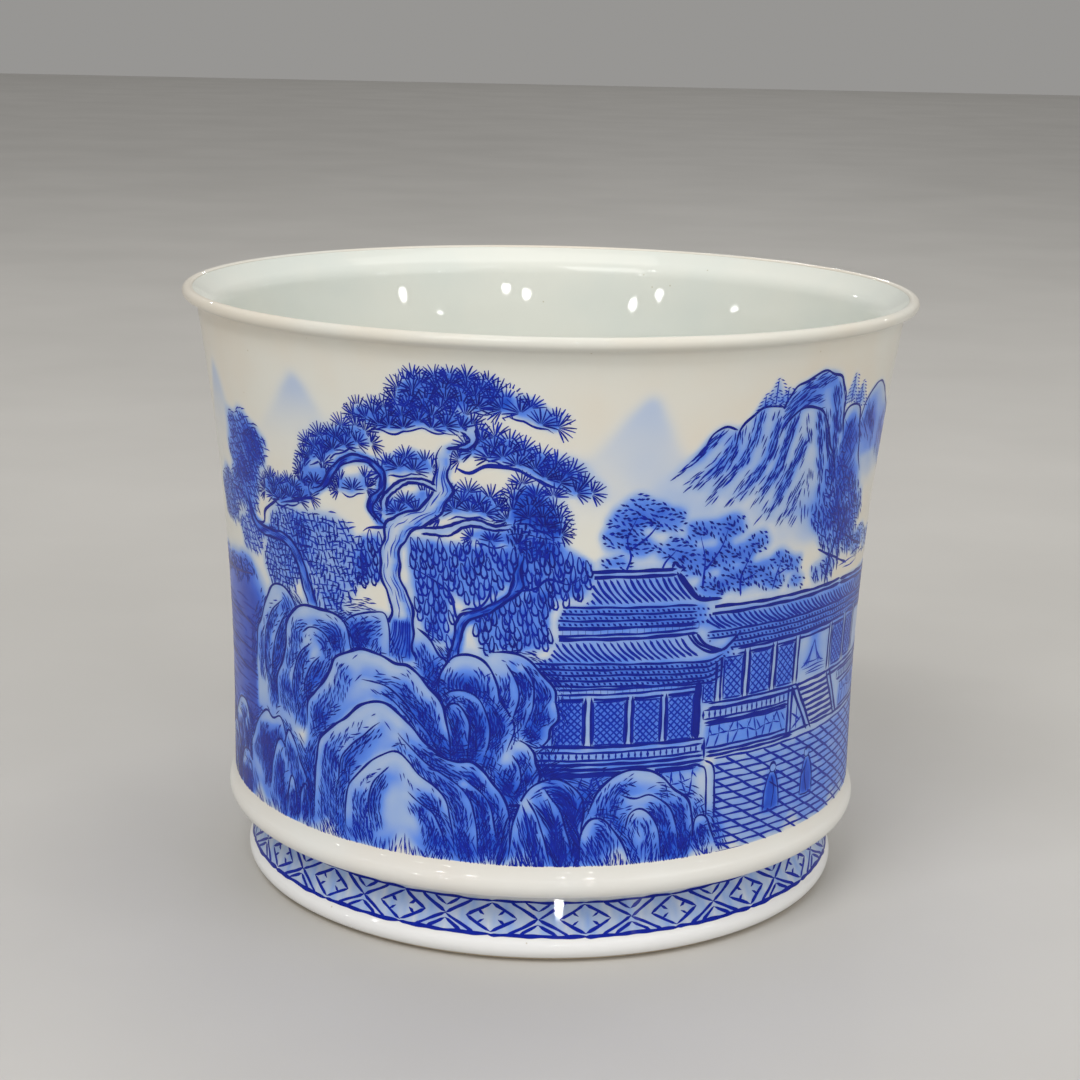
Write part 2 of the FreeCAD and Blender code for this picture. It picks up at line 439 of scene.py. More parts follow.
def boulder(s, low, width, height, twist=0.0, ink="ink_back_rocks", pale=0.32):
    """A rounded rock with three folds down its face."""
    def at(across, up):
        return (s + (across + twist * up) * width, low + up * height)

    shape = ((-0.5, 0), (-0.46, 0.46), (-0.31, 0.8), (-0.1, 0.97), (0.12, 0.98), (0.3, 0.78), (0.43, 0.44),
             (0.5, 0))
    contour = [at(x + rng.uniform(-0.025, 0.025), y * rng.uniform(0.95, 1.05)) for x, y in shape]
    folds = [
        fold([at(-0.22, 0.76), at(-0.03, 0.7), at(0.1, 0.46), at(0.14, 0)], far=2.6, reach=2.0, crease=0.7),
        fold([at(0.16, 0.74), at(0.27, 0.46), at(0.31, 0)], far=1.8, crease=0.5),
        groove([at(-0.24, 0.6), at(-0.33, 0.34), at(-0.34, 0)], 1.6),
    ]
    rock(ink, contour, low, folds, pale, crown=0.42, near=1.1, far=4.4, crease=0.85, reach=2.2, bright=2.0,
         gap=0.1)


# ---------------------------------------------------------------- Trees


def fans(ink, centres, facing, radius=2.1, needles=10, opening=2.6, tone=0.88):
    """Tufts of pine needles, each spread like a fan about the way it faces."""
    centres = np.atleast_2d(centres)
    n = len(centres)
    facing = np.broadcast_to(facing, n)
    across = np.linspace(-0.5, 0.5, needles)
    heading = facing[:, None] + across * opening + rng.uniform(-0.07, 0.07, (n, needles))
    length = radius * (1 - 0.1 * np.abs(2 * across)) * rng.uniform(0.94, 1.04, (n, needles))
    start = centres[:, None] + 0.3 * np.stack([np.cos(heading), np.sin(heading)], -1)
    bend = np.sign(across) * 0.2 * np.ones((n, 1))
    dashes(ink, start.reshape(-1, 2), heading.ravel(), length.ravel(), spread(n * needles, 0.24),
           spread(n * needles, tone, 0.12), bend.ravel(), head=0.3, tail=0.3, tip=0.55)


def clear_round(ink, centres, radius):
    """Leaves small discs bare of a group's strokes, so that a nearer tuft stands out."""
    low, high = centres.min(0) - radius, centres.max(0) + radius
    for strip in inks.get(ink, []):
        if (strip.low > high).any() or (strip.high < low).any():
            continue
        starts = strip.edges.mean(1)
        near = np.flatnonzero(strip.joined & (starts > low).all(1) & (starts < high).all(1))
        gaps = np.linalg.norm(starts[near, None] - centres[None], axis=2).min(1)
        strip.joined[near[gaps < radius]] = False


def pine_pad(ink, underside, height=3.4, radius=2.1, strength=0.5):
    """A flat cloud of pine foliage that stands on its underside line."""
    path = curve(underside, 0.25)
    u = np.linspace(0, 1, len(path))
    lift = height * np.sqrt(np.clip(1 - (2 * u - 1) ** 2, 0, 1))
    top = path + np.column_stack([np.zeros_like(u), 0.95 * lift + 1.1])
    wash(np.vstack([path + (0, 0.2), top[::-1]]), strength, 0.4)
    step = 1.3
    rows = max(1, round(height / 1.1))
    for row in reversed(range(rows)):
        inset = 0.26 * (row / rows) ** 1.3
        count = max(2, int(len(path) * 0.25 * (1 - 2 * inset) / 1.85))
        at = np.linspace(inset, 1 - inset, count) + rng.uniform(-0.01, 0.01, count)
        index = np.clip((at * (len(path) - 1)).astype(int), 0, len(path) - 1)
        stagger = 0.45 * (np.arange(count) % 2)
        centre = path[index] + np.column_stack([np.zeros(count), 0.3 + row * step + stagger])
        centre += rng.uniform(-0.3, 0.3, centre.shape)
        facing = math.pi / 2 - (2 * at - 1) * (1.35 - 0.25 * row)
        clear_round(ink, centre + (0, 0.4), radius * 0.52)
        fans(ink, centre, facing, 0.95 * radius * rng.uniform(0.9, 1.08), tone=0.84 + 0.03 * (rows - row))
        tint(centre + (0, 0.3), np.full(count, 0.36), 1.2, 0.45)
    lower = path[len(path) // 10:-len(path) // 10]
    travel = np.arange(len(lower)) * 0.25
    scallop = 0.34 * np.abs(np.sin(travel * 0.95 + rng.uniform(0, 3)))
    brush(ink, (lower - np.column_stack([np.zeros_like(travel), scallop]))[::2], 0.3, 0.92, 0.2, 0.3)


def limb(ink, left, right, paper=0.22, bark=0.75, line=0.46, grain=True, slim=0.0, knots=0.12):
    """A trunk or branch between two knotty edges, with strokes of bark. Slim draws its edges inwards."""
    count = 40
    a, b = curve(left, 0.5), curve(right, 0.5)
    rows_a = a[np.linspace(0, len(a) - 1, count).astype(int)]
    rows_b = b[np.linspace(0, len(b) - 1, count).astype(int)]
    rows_a, rows_b = rows_a + (rows_b - rows_a) * slim / 2, rows_b + (rows_a - rows_b) * slim / 2
    swell = np.abs(np.sin(np.arange(count) * 0.8 + rng.uniform(0, 3, 2)[:, None])) - 0.6
    rows_a, rows_b = (rows + sideways(rows) * knots * wave[:, None]
                      for rows, wave in zip((rows_a, rows_b), swell))
    cover(np.vstack([rows_a, rows_b[::-1]]), paper, 0.25)
    if grain:
        for share in (0.2, 0.38, 0.55, 0.72, 0.86):
            middle = rows_a * (1 - share) + rows_b * share
            for start in range(rng.randint(0, 5), count - 6, 7):
                stretch = middle[start:start + rng.randint(4, 7)]
                brush(ink, stretch, 0.2, bark, 0.3, 0.5)
        tint(rows_b * 0.8 + rows_a * 0.2, np.full(count, 0.5), 0.8, 0.4)
        tint(rows_a * 0.9 + rows_b * 0.1, np.full(count, 0.3), 0.5, 0.3)
    for edge in (rows_a, rows_b):
        brush(ink, edge, line, 0.97, 0.05, 0.15, shake=0.1)


def twig(ink, points, width=0.5, tone=0.9):
    brush(ink, points, width, tone, 0.05, 0.7, shake=0.06)


def stem(ink, s, z, drop=3.4):
    """The stem of a bush whose leaves are about (s, z)."""
    twig(ink, [(s, z - drop), (s + 0.4, z - 1), (s + 0.2, z + 1)], 0.34)


def drops(ink, outline, size=2.5, spacing=1.6, tone=0.9, strength=0.42):
    """Hanging leaves drawn as rows of drop-shaped loops, with short dark touches between them."""
    wash(outline, strength, 0.5)
    tips = scatter(outline, spacing, 0.2)
    n = len(tips)
    if n == 0:
        return
    around = np.linspace(0.06, 0.97, 10) * 2 * math.pi
    fall = (1 - np.cos(around)) / 2
    leaf_h = spread(n, size, 0.15)[:, None]
    leaf_w = spread(n, size * 0.42, 0.15)[:, None]
    swing = rng.uniform(-0.05, 0.3, (n, 1))
    x = leaf_w / 2 * np.sin(around) * (0.35 + 0.8 * fall) + swing * leaf_h * fall
    y = -leaf_h * fall
    paths = tips[:, None] + np.stack([x, y], -1) + (0, size * 0.45)
    widths = 0.16 + 0.26 * fall**2
    ribbons(ink, paths, np.tile(widths, (n, 1)), spread(n, tone, 0.1))
    between = tips[rng.uniform(0, 1, n) < 0.4] + (size * 0.28, 0.5)
    tint(between, np.full(len(between), 0.5), 0.8, 0.4)
    dashes(ink, between, -math.pi / 2, spread(len(between), 1.1), 0.34, 0.8)


def net(ink, outline, slow=0.3, steep=-1.15, spacing=1.0, tone=0.85, strength=0.34):
    """Foliage of crossing leaf strokes."""
    wash(outline, strength, 0.8)
    for heading, gap, length, width in ((slow, spacing * 1.5, 1.7, 0.26), (steep, spacing * 1.25, 1.5, 0.36)):
        points = scatter(outline, gap, 0.24)
        n = len(points)
        drift = 0.25 * np.sin(points[:, 0] * 0.9 + points[:, 1] * 0.7)
        dashes(ink, points, heading + drift + rng.uniform(-0.15, 0.15, n), spread(n, length),
               spread(n, width), spread(n, tone, 0.14), bend=-0.5, head=0.3, tail=0.5)


def dots(ink, outline, spacing=0.9, heading=-0.6, length=0.85, tone=0.95, strength=0.34, turn=0.5):
    """Foliage of small dabs, each clump washed more deeply at its heart."""
    outline = np.asarray(outline, float)
    wash(outline, strength, 0.6)
    middle = outline.mean(0)
    wash(middle + (outline - middle) * 0.5, strength, 0.8)
    points = scatter(outline, spacing, 0.35)
    n = len(points)
    way = heading + turn * np.sin(points[:, 0] * 1.1 + points[:, 1] * 1.7)
    dashes(ink, points, way, spread(n, length, 0.3), spread(n, 0.36), spread(n, tone, 0.15), head=0.4,
           tail=0.5, sections=3)


def fir(ink, s, z, height=4.2, width=3.4, tone=0.75):
    """A small far conifer: level dabs stacked to a point."""
    wash([(s - width / 2, z), (s + width / 2, z), (s, z + height)], 0.35, 0.5)
    for level in np.arange(0, 1, 0.55 / height):
        reach = width / 2 * (1 - level) + 0.25
        count = max(2, int(reach * 3))
        at = np.linspace(-reach, reach, count) + rng.uniform(-0.15, 0.15, count)
        start = np.column_stack([s + at, z + level * height - 0.12 * np.abs(at)])
        dashes(ink, start, -0.35 * np.sign(at), spread(count, 0.8), 0.24, spread(count, tone, 0.15),
               sections=3)
    brush(ink, [(s, z - 0.3), (s, z + height * 0.9)], 0.2, tone)


def bamboo(ink, s, z, height, leaves=26, tone=0.8):
    """A stem of bamboo with hanging pointed leaves."""
    lean = rng.uniform(-0.08, 0.12)
    top = (s + lean * height, z + height)
    brush(ink, [(s, z), ((s + top[0]) / 2 - 0.3, z + height / 2), top], 0.34, tone, 0.02, 0.5)
    at = rng.uniform(0.35, 1, leaves)
    start = np.column_stack([s + lean * height * at, z + height * at]) + rng.normal(0, 0.7, (leaves, 2))
    dashes(ink, start, rng.uniform(-2.7, -0.4, leaves), spread(leaves, 2.4), 0.42, spread(leaves, tone),
           head=0.4, tail=0.7)


# ---------------------------------------------------------------- Buildings

RULED_WEIGHT = 1.35                      # a ruled stroke is pressed this much harder


def rule(ink, a, b, width=0.3, tone=0.92):
    """A straight stroke."""
    brush(ink, [a, b], RULED_WEIGHT * width, tone, 0.01, 0.02, step=0.8, shake=0.04)


def rules(ink, lines, width=0.3, tone=0.92):
    for a, b in lines:
        rule(ink, a, b, width, tone)


def along(a, b, share):
    return (a[0] + (b[0] - a[0]) * share, a[1] + (b[1] - a[1]) * share)


def tiles(ink, top, bottom, count, width=0.26, tone=0.85):
    """Rows of roof tiles: strokes from a top edge to a bottom edge."""
    for share in np.linspace(0, 1, count):
        a = along(*top, share)
        b = along(*bottom, share)
        middle = ((a[0] + b[0]) / 2 - 0.12 * abs(b[0] - a[0]), (a[1] + b[1]) / 2)
        brush(ink, [a, middle, b], RULED_WEIGHT * width, tone, 0.1, 0.1, shake=0.04)


def eaves(ink, line, drop=2.6, rows=3, tone=0.92):
    """Layered eaves under a roof edge: dark lines with a row of tile ends between them."""
    path = curve(line, 0.85)
    wash(np.vstack([path + (0, 0.2), (path - (0, drop))[::-1]]), 0.32, 0.3)
    for row in range(rows + 1):
        below = path - (0, drop * row / rows)
        brush(ink, below[::3] if len(below) > 8 else below, 0.38, tone, 0.02, 0.04)
    for row in range(rows):
        middle = path - (0, drop * (row + 0.5) / rows)
        n = len(middle)
        dashes(ink, middle + (0.4 * (row % 2), 0.14), -0.7, spread(n, 0.62, 0.15), 0.4, 0.92, sections=3)


def beads(ink, a, b, height, pitch=0.95, tone=0.9):
    """A narrow band of small upright bars between two lines."""
    length = math.hypot(b[0] - a[0], b[1] - a[1])
    rules(ink, [(a, b), ((a[0], a[1] + height), (b[0], b[1] + height))], 0.28, tone)
    for share in np.linspace(0, 1, max(2, int(length / pitch))):
        foot = along(a, b, share)
        rule(ink, foot, (foot[0], foot[1] + height), 0.3, tone)


def lattice(ink, s0, s1, z0, z1, pitch=1.15, slope=1.0, tone=0.78):
    """Diagonal lattice that fills a panel."""
    wash(box(s0, s1, z0, z1), 0.28, 0.3)
    for lean in (slope, -slope):
        reach = (z1 - z0) / abs(lean)
        for start in np.arange(s0 - reach, s1, pitch):
            if lean > 0:
                a, b = (start, z0), (start + reach, z1)
            else:
                a, b = (start, z1), (start + reach, z0)
            low = max(0.0, (s0 - a[0]) / reach)
            high = min(1.0, (s1 - a[0]) / reach)
            if high - low > 0.06:
                rule(ink, along(a, b, low), along(a, b, high), 0.2, tone)
    rules(ink, [((s0, z0), (s0, z1)), ((s1, z0), (s1, z1)), ((s0, z0), (s1, z0)), ((s0, z1), (s1, z1))], 0.24,
          0.85)


def post(ink, s, z0, z1, width=1.0, tone=0.95):
    """A column, light between two dark edges."""
    cover(box(s - width / 2, s + width / 2, z0, z1), 0.15, 0.2)
    rules(ink, [((s - width / 2, z0), (s - width / 2, z1)), ((s + width / 2, z0), (s + width / 2, z1))], 0.34,
          tone)


def ice_wall(ink, s0, s1, z0, z1, tone=0.78):
    """A wall of stones fitted at random angles."""
    wash(box(s0, s1, z0, z1), 0.26, 0.3)
    middle = (z0 + z1) / 2
    corners = [(s, middle + rng.uniform(-0.6, 0.6)) for s in np.arange(s0 + 0.8, s1 - 0.5, 1.9)]
    for a, b in zip(corners, corners[1:]):
        rule(ink, a, b, 0.24, tone)
    for s, z in corners:
        rule(ink, (s, z), (s + rng.uniform(-1.2, 1.2), z1), 0.24, tone)
        rule(ink, (s, z), (s + rng.uniform(-1.3, 1.3), z0), 0.24, tone)
        rule(ink, (s, z1 - 0.6), (s + rng.uniform(0.4, 1.2), z), 0.2, tone)
    rules(ink, [((s0, z0), (s1, z0)), ((s0, z1), (s1, z1))], 0.3, 0.9)


def paving(ink, left, right, top, bottom, rows=14, slant=1.62, pitch=4.0, tone=0.85):
    """A court paved in perspective: level joints, and joints that slant across them."""
    wash(box(left, right, bottom, top), 0.28, 0.5)
    wash(box(left, right, bottom, top), 0.3, 0.5, fade=((right, bottom), (left, top)))
    for share in np.linspace(0, 1, rows):
        z = top + (bottom - top) * share
        brush(ink, [(left, z), ((left + right) / 2, z - 0.25), (right, z - 0.15)], 0.36, tone, 0.01, 0.05)
    reach = (top - bottom) * slant
    for start in np.arange(left - reach, right, pitch):
        a, b = (start, top), (start + reach, bottom)
        low = max(0.0, (left - start) / reach)
        high = min(1.0, (right - start) / reach)
        if high - low > 0.05:
            rule(ink, along(a, b, low), along(a, b, high), 0.28, tone)


def robed_figure(ink, s, z, height=8.0, facing=1, tone=0.97):
    """A tiny standing figure in a long robe, seen from far off."""
    half = height * 0.24

    def at(across, up):
        return (s + across * half, z + up * height)

    body = [at(-1, 0), at(-0.8, 0.45), at(-0.35, 0.78), at(0.35, 0.78), at(0.9, 0.4), at(1, 0)]
    cover(curve(body, 0.4), 0.85, 0.25)
    brush(ink, body, 0.32, tone, 0.05, 0.05)
    brush(ink, [at(-1, 0), (s, z - 0.25), at(1, 0)], 0.3, tone)
    brush(ink, [at(0, 0.72), at(0.3 * facing, 0.4), (s + 0.1 * half, z + 0.1)], 0.22, tone)
    brush(ink, [at(-0.3, 0.6), at(0.8 * facing, 0.42)], 0.3, tone)
    head = blob(*at(0.1 * facing, 0.88), 0.2 * height, 0.2 * height)
    cover(head, 0.4, 0.2)
    hoop(ink, head, 0.22, tone=tone, head=0.01, tail=0.01)
    brush(ink, [at(-0.3, 0.94), at(0.1, 1), at(0.5, 0.93)], 0.45, tone)


def ripples(ink, s0, s1, z0, z1, spacing=1.5, tone=0.6, width=0.2):
    """Level broken strokes of still water."""
    for z in np.arange(z0, z1, spacing):
        at = s0 + rng.uniform(0, 6)
        while at < s1:
            run = min(rng.uniform(5, 15), s1 - at)
            if run > 2:
                height = z + rng.uniform(-0.4, 0.4)
                middle = (at + run / 2, height + rng.uniform(-0.3, 0.3))
                brush(ink, [(at, height), middle, (at + run, height)], width, tone, 0.3, 0.5)
            at += run + rng.uniform(1, 7)


def boat(ink, s, z, length=7.0, tone=0.85):
    """A small covered boat."""
    hull = [(s - length / 2, z + 0.8), (s - length / 4, z), (s + length / 4, z), (s + length / 2, z + 1.0)]
    deck = [(s - length / 2, z + 0.8), (s, z + 0.55), (s + length / 2, z + 1.0)]
    cover(np.vstack([curve(hull), curve(deck)[::-1]]), 0.3)
    brush(ink, hull, 0.4, tone)
    brush(ink, deck, 0.26, tone)
    hood = [(s - 1.6, z + 0.7), (s - 1.2, z + 2.0), (s + 0.6, z + 2.1), (s + 1.2, z + 0.75)]
    cover(curve(hood), 0.4)
    brush(ink, hood, 0.34, tone)
    lattice(ink, s - 1.1, s + 0.6, z + 0.8, z + 1.7, 0.6, tone=0.7)
    ripples(ink, s - length * 0.6, s + length * 0.6, z - 1.2, z - 0.2, 0.6, 0.5)


# ---------------------------------------------------------------- The landscape, front


def far_peak(s, top, left, right, foot, strength=0.24):
    """A pale distant mountain with no outline, that fades into mist below."""
    height = top - foot
    side = [(s - left, foot), (s - 0.7 * left, foot + 0.32 * height), (s - 0.38 * left, foot + 0.62 * height),
            (s - 0.15 * left, foot + 0.9 * height), (s, top), (s + 0.17 * right, foot + 0.88 * height),
            (s + 0.38 * right, foot + 0.62 * height), (s + 0.72 * right, foot + 0.34 * height),
            (s + right, foot)]
    wash(curve(side), strength * 0.8, 0.8, fade=((s, top + 2), (s, foot)), mottle=0.06)
    wash(curve(side), strength * 0.4, 1.4, fade=((s, top), (s, foot + 0.35 * height)), mottle=0.06)


def paint_far_mountains():
    far_peak(-40, 93.5, 17, 16, 76)
    far_peak(-66, 91.5, 15, 16, 70)
    far_peak(-55, 84.0, 12, 12, 70, 0.22)
    far_peak(14.6, 93.2, 21, 13, 71)
    far_peak(3, 84.5, 12, 12, 72, 0.2)
    wash(blob(14, 80, 14, 9), 0.1, 3)
    wash(blob(30, 76, 34, 9), 0.13, 3)


def paint_right_mountain():
    ink = "ink_mountain"
    crag(ink, [(56, 83), (57.5, 87.5), (60.5, 90.1), (63.5, 90.5), (66, 89.4), (69, 87), (72, 85.3),
               (79, 81)], foot=79, crown=0.45, gap=0.08, line=0.4, shadow=0.5, pale=0.32)
    wash(blob(66, 79, 22, 10), 0.28, 2.5)
    for s, z, height, width in ((52.2, 88.8, 4.8, 4.2), (55.3, 87.8, 4.0, 4.0), (34.2, 90.0, 4.8, 4.4),
                                (32.2, 89.4, 3.0, 3.2), (36.4, 90.6, 2.4, 2.8)):
        fir(ink, s, z, height, width)
    crag(ink, [(50, 82), (51, 87), (53, 88.2), (55.4, 87.5), (56.6, 85), (57.6, 82), (58.4, 79), (60, 76)],
         foot=76, crown=0.3, gap=0.08, line=0.42, shadow=0.7, pale=0.32)
    crest = [(35.8, 88.6), (36.2, 90.4), (37, 91.6), (38.1, 93), (40, 93.6), (42, 94.4), (44, 94.8),
             (46, 94.0), (48, 93.4), (49, 92), (50.2, 90.3), (50.4, 87.6), (51.4, 83)]
    flank(ink, crest + [(51, 78), (36, 80)], [
        [(45.4, 92.8), (41.6, 91.4), (38.6, 89.2), (36.2, 86.4)],
        [(43.6, 90.2), (41, 89.6), (39, 87.4)],
        [(46.2, 91.4), (47.4, 88.6), (48, 85), (49, 81)],
    ], 0.32, shade=0.9)
    brush(ink, crest, 0.42, 0.97)
    shoulder = [(21.4, 83.2), (22.8, 84.5), (23.6, 86.2), (24.6, 87.1), (26.2, 87.7), (28, 87.0)]
    second = [(28.0, 84.2), (28.2, 86.5), (29, 87.9), (30.5, 89.0), (32.2, 90.2), (34.4, 90.2), (36, 89.9)]
    peak = [(35.8, 85), (36.4, 86.7), (37.8, 88.0), (39.6, 89.1), (41.2, 89.4), (43, 89.0), (44.7, 88.2),
            (46.2, 86.4), (47.2, 84.2), (48, 82.2), (49.6, 80.2), (50.6, 77)]
    flank(ink, shoulder + second[1:] + [(36, 84), (35, 78), (31, 75.4), (26, 76.4), (22, 78), (18.4, 80.4)], [
        [(26.4, 86.8), (24.8, 85.2), (22.6, 83.0), (19.6, 80.8)],
        [(28.6, 87.2), (28.3, 84.6), (26.6, 81.6), (23, 78.2)],
        [(32.6, 88.4), (31.9, 85.4), (30.2, 81.8), (26.4, 77.4)],
        [(36.2, 86.6), (35.4, 83.4), (33.6, 80), (30, 76)],
    ])
    brush(ink, shoulder, 0.38, 0.97, 0.3)
    brush(ink, second, 0.42, 0.97, 0.2)
    flank(ink, peak[1:] + [(50, 75), (46, 72), (43, 71.4), (36, 71.6), (32, 73.6), (33, 78), (35.4, 82)], [
        [(38.8, 85.2), (37.6, 81.6), (36, 78.4), (32.8, 74.2)],
        [(41.8, 82.6), (40.2, 79.4), (38.4, 76.2), (36, 72.6)],
        [(43.6, 86.8), (44.6, 83.6), (45.5, 80), (46.2, 75.6)],
        [(47.4, 82), (48.6, 79), (49.8, 76)],
    ], 0.2)
    brush(ink, peak, 0.42, 0.97, 0.1, 0.3)
    brush(ink, [(38.6, 85.0), (37.7, 82.4), (37.2, 80), (35.8, 77.6)], 0.3, 0.9, 0.3, 0.5)
    brush(ink, [(45.4, 87.2), (46.4, 84.4), (47.4, 81.6), (48.8, 79)], 0.34, 0.9, 0.3, 0.5)
    wash(curve([(16, 79), (28, 76), (37, 72), (48, 74), (51, 67), (34, 66), (14, 72)]), 0.15, 1.6)
    wash(blob(47, 72, 9, 10), 0.2, 1.8)


def paint_dark_trees():
    ink = "ink_dark_trees"
    for s, z, w, h in ((51, 77, 7, 7), (56, 73, 9, 8), (49.5, 71, 8, 6), (53, 68, 9, 8), (60, 70, 8, 6),
                       (51, 61.5, 8, 4), (58, 66, 8, 6)):
        net(ink, blob(s, z, w, h, 5, 0.12, s), slow=-0.35, steep=-1.0, spacing=0.9, tone=0.85, strength=0.4)
    brush(ink, [(52, 58.5), (52.8, 63), (54.5, 67), (53.5, 72)], 0.5, 0.95)
    brush(ink, [(56, 60), (55.6, 66), (57, 71)], 0.45, 0.95)
    for s, z, w, h in ((65, 63.6, 12, 4.6), (75, 62, 12, 4), (85, 61.4, 10, 3)):
        dots(ink, blob(s, z, w, h, 4, 0.12, s))
        stem(ink, s, z)
    for start, end in (((48.6, 65), (60, 60.4)), ((57, 66), (66, 62.3))):
        brush(ink, [start, along(start, end, 0.4), along(start, end, 0.75), end], 0.42, 0.95)
    ripples(ink, 56, 70, 59.6, 62, 0.8, 0.8, 0.28)


def paint_dotted_trees():
    ink = "ink_dotted_trees"
    clumps = ((13.6, 75.2, 8, 5), (18, 73.6, 6, 4.4), (11.4, 72.8, 7, 4), (10.4, 70.6, 6, 3.6),
              (14.2, 69.6, 5.4, 3.4), (10.0, 66.9, 5, 2.8), (19.6, 68.6, 6, 4.6), (23.4, 71.6, 5.4, 3.4),
              (28.4, 71.8, 6, 4.4), (23.2, 66.4, 6.4, 5), (27.6, 67.2, 5, 4.4), (31.6, 67.0, 5, 3.6),
              (34.2, 68.8, 4.8, 3.4), (30.4, 63.2, 7.6, 4.6), (35, 63.6, 5, 4), (26, 62.2, 6, 3.6),
              (39.2, 65.0, 5.4, 3.2), (42.6, 63.8, 4.4, 3), (38.2, 61.6, 5.6, 2.6), (43.6, 60.8, 4.2, 2.4))
    grove = [(8, 65), (12, 71), (20, 69), (24, 72), (30, 71), (34, 67), (41, 65), (45, 60), (30, 59),
             (16, 65)]
    wash(curve(grove), 0.22, 1.2)
    for s, z, w, h in clumps:
        dots(ink, blob(s, z, w, h, 4, 0.12, s), heading=-0.75 if s > 22 else -0.3)
    for points in ([(12, 65.5), (12.6, 68), (12.0, 71), (13.2, 74.4)], [(12.4, 69), (15, 71), (16.6, 73.4)],
                   [(17.5, 65.5), (18, 67), (19.6, 68.6)], [(24.5, 62), (24.6, 66), (23.6, 70.5)],
                   [(24.6, 65), (27, 68), (28.2, 71.2)], [(31.6, 60), (31.6, 63.5), (33.4, 67.6)],
                   [(31.8, 62.6), (34.6, 63.6)], [(38, 60.2), (38.8, 62.6), (39.6, 64.6)],
                   [(38.9, 62.4), (42, 63.6)]):
        twig(ink, points, 0.34, 0.8)


def paint_gallery():
    """The long roofed gallery at the right, its steps and the paved court before it."""
    ink = "ink_gallery"
    cover([(24, 58.8), (45, 58.6), (80, 57.2), (84, 34), (26, 34)], 0.3, 0.3)
    rules(ink, [((25.4, 58.9), (58, 58.2)), ((25, 57.8), (58, 57.4)), ((58, 58.2), (82, 56.2)),
                ((58, 57.4), (82, 55.2))], 0.4, 0.95)
    wash(box(24, 80, 55.1, 57.6), 0.22, 0.3)
    tiles(ink, ((25, 57.6), (79, 56)), ((28.4, 55.1), (82, 53.4)), 52, 0.26)
    eaves(ink, [(26, 54.8), (45, 54.6), (62, 54.2), (82, 52.6)], 3.0, 3)
    rules(ink, [((32, 51.4), (62, 51.2)), ((32, 50.6), (62, 50.4)), ((62, 51.2), (80, 49.4))], 0.3)
    for s0, s1 in ((29.6, 33.2), (34.8, 39.2), (40.8, 45.0), (57.4, 62.0), (63.4, 67.6)):
        lattice(ink, s0, s1, 43.4, 50.2, 1.25, 0.95)
    far_peak(50.8, 52.0, 4.0, 4.5, 44.4, 0.6)
    for lean in (-1, 1):
        for k in range(5):
            brush(ink, [(50.8 + lean * 0.35 * k, 49.5 - 0.9 * k), (50.8 + lean * (1.6 + 0.5 * k), 45.2)],
                  0.22, 0.7)
    ripples(ink, 47, 55, 43.6, 46.8, 0.8, 0.75, 0.24)
    for s in (28.6, 34.0, 40.0, 45.7, 56.3, 62.7, 68.6):
        post(ink, s, 43.0, 51.2, 0.95)
    rules(ink, [((27, 43.0), (80, 42.4)), ((27, 42.2), (80, 41.6))], 0.32)
    beads(ink, (26.2, 40.4), (44.2, 40.4), 1.5, 0.95)
    beads(ink, (61, 39.9), (80, 39.4), 1.5, 0.95)
    rules(ink, [((26.4, 39.8), (44.4, 39.8))], 0.4)
    ice_wall(ink, 26.6, 44.2, 35.6, 39.4)
    ice_wall(ink, 62.5, 82, 34.8, 39.0)
    rules(ink, [((27, 34.9), (51, 34.7)), ((51, 34.7), (83, 33.6)), ((27, 34.2), (46, 34.2))], 0.34)
    cover([(46.3, 42.8), (56.2, 42.8), (60.4, 34.9), (51.4, 34.9)], 0.12, 0.2)
    for share in np.arange(8) / 7.5:
        step_ends = along((46.0, 42.6), (51.2, 34.8), share), along((56.2, 42.6), (60.6, 34.8), share)
        rule(ink, *step_ends, 0.42, 0.9)
    rules(ink, [((51.6, 34.0), (46.2, 42.9)), ((50.2, 34.2), (45.0, 42.6)), ((61.6, 34.0), (57.2, 42.9)),
                ((60.4, 34.0), (56.0, 42.6))], 0.42, 0.95)
    rules(ink, [((44.4, 42.8), (44.4, 34.4)), ((45.3, 42.4), (45.3, 34.4))], 0.4)
    rules(ink, [((45.4, 38), (48, 36.2)), ((45.6, 35.2), (48.6, 37)), ((46.8, 39.2), (47, 35))], 0.24, 0.8)
    paving(ink, 28.6, 84, 33.6, 17.6)


def paint_figures():
    robed_figure("ink_figures", 41.2, 22.6, 8.0, 1)
    robed_figure("ink_figures", 51.0, 22.9, 8.0, -1)


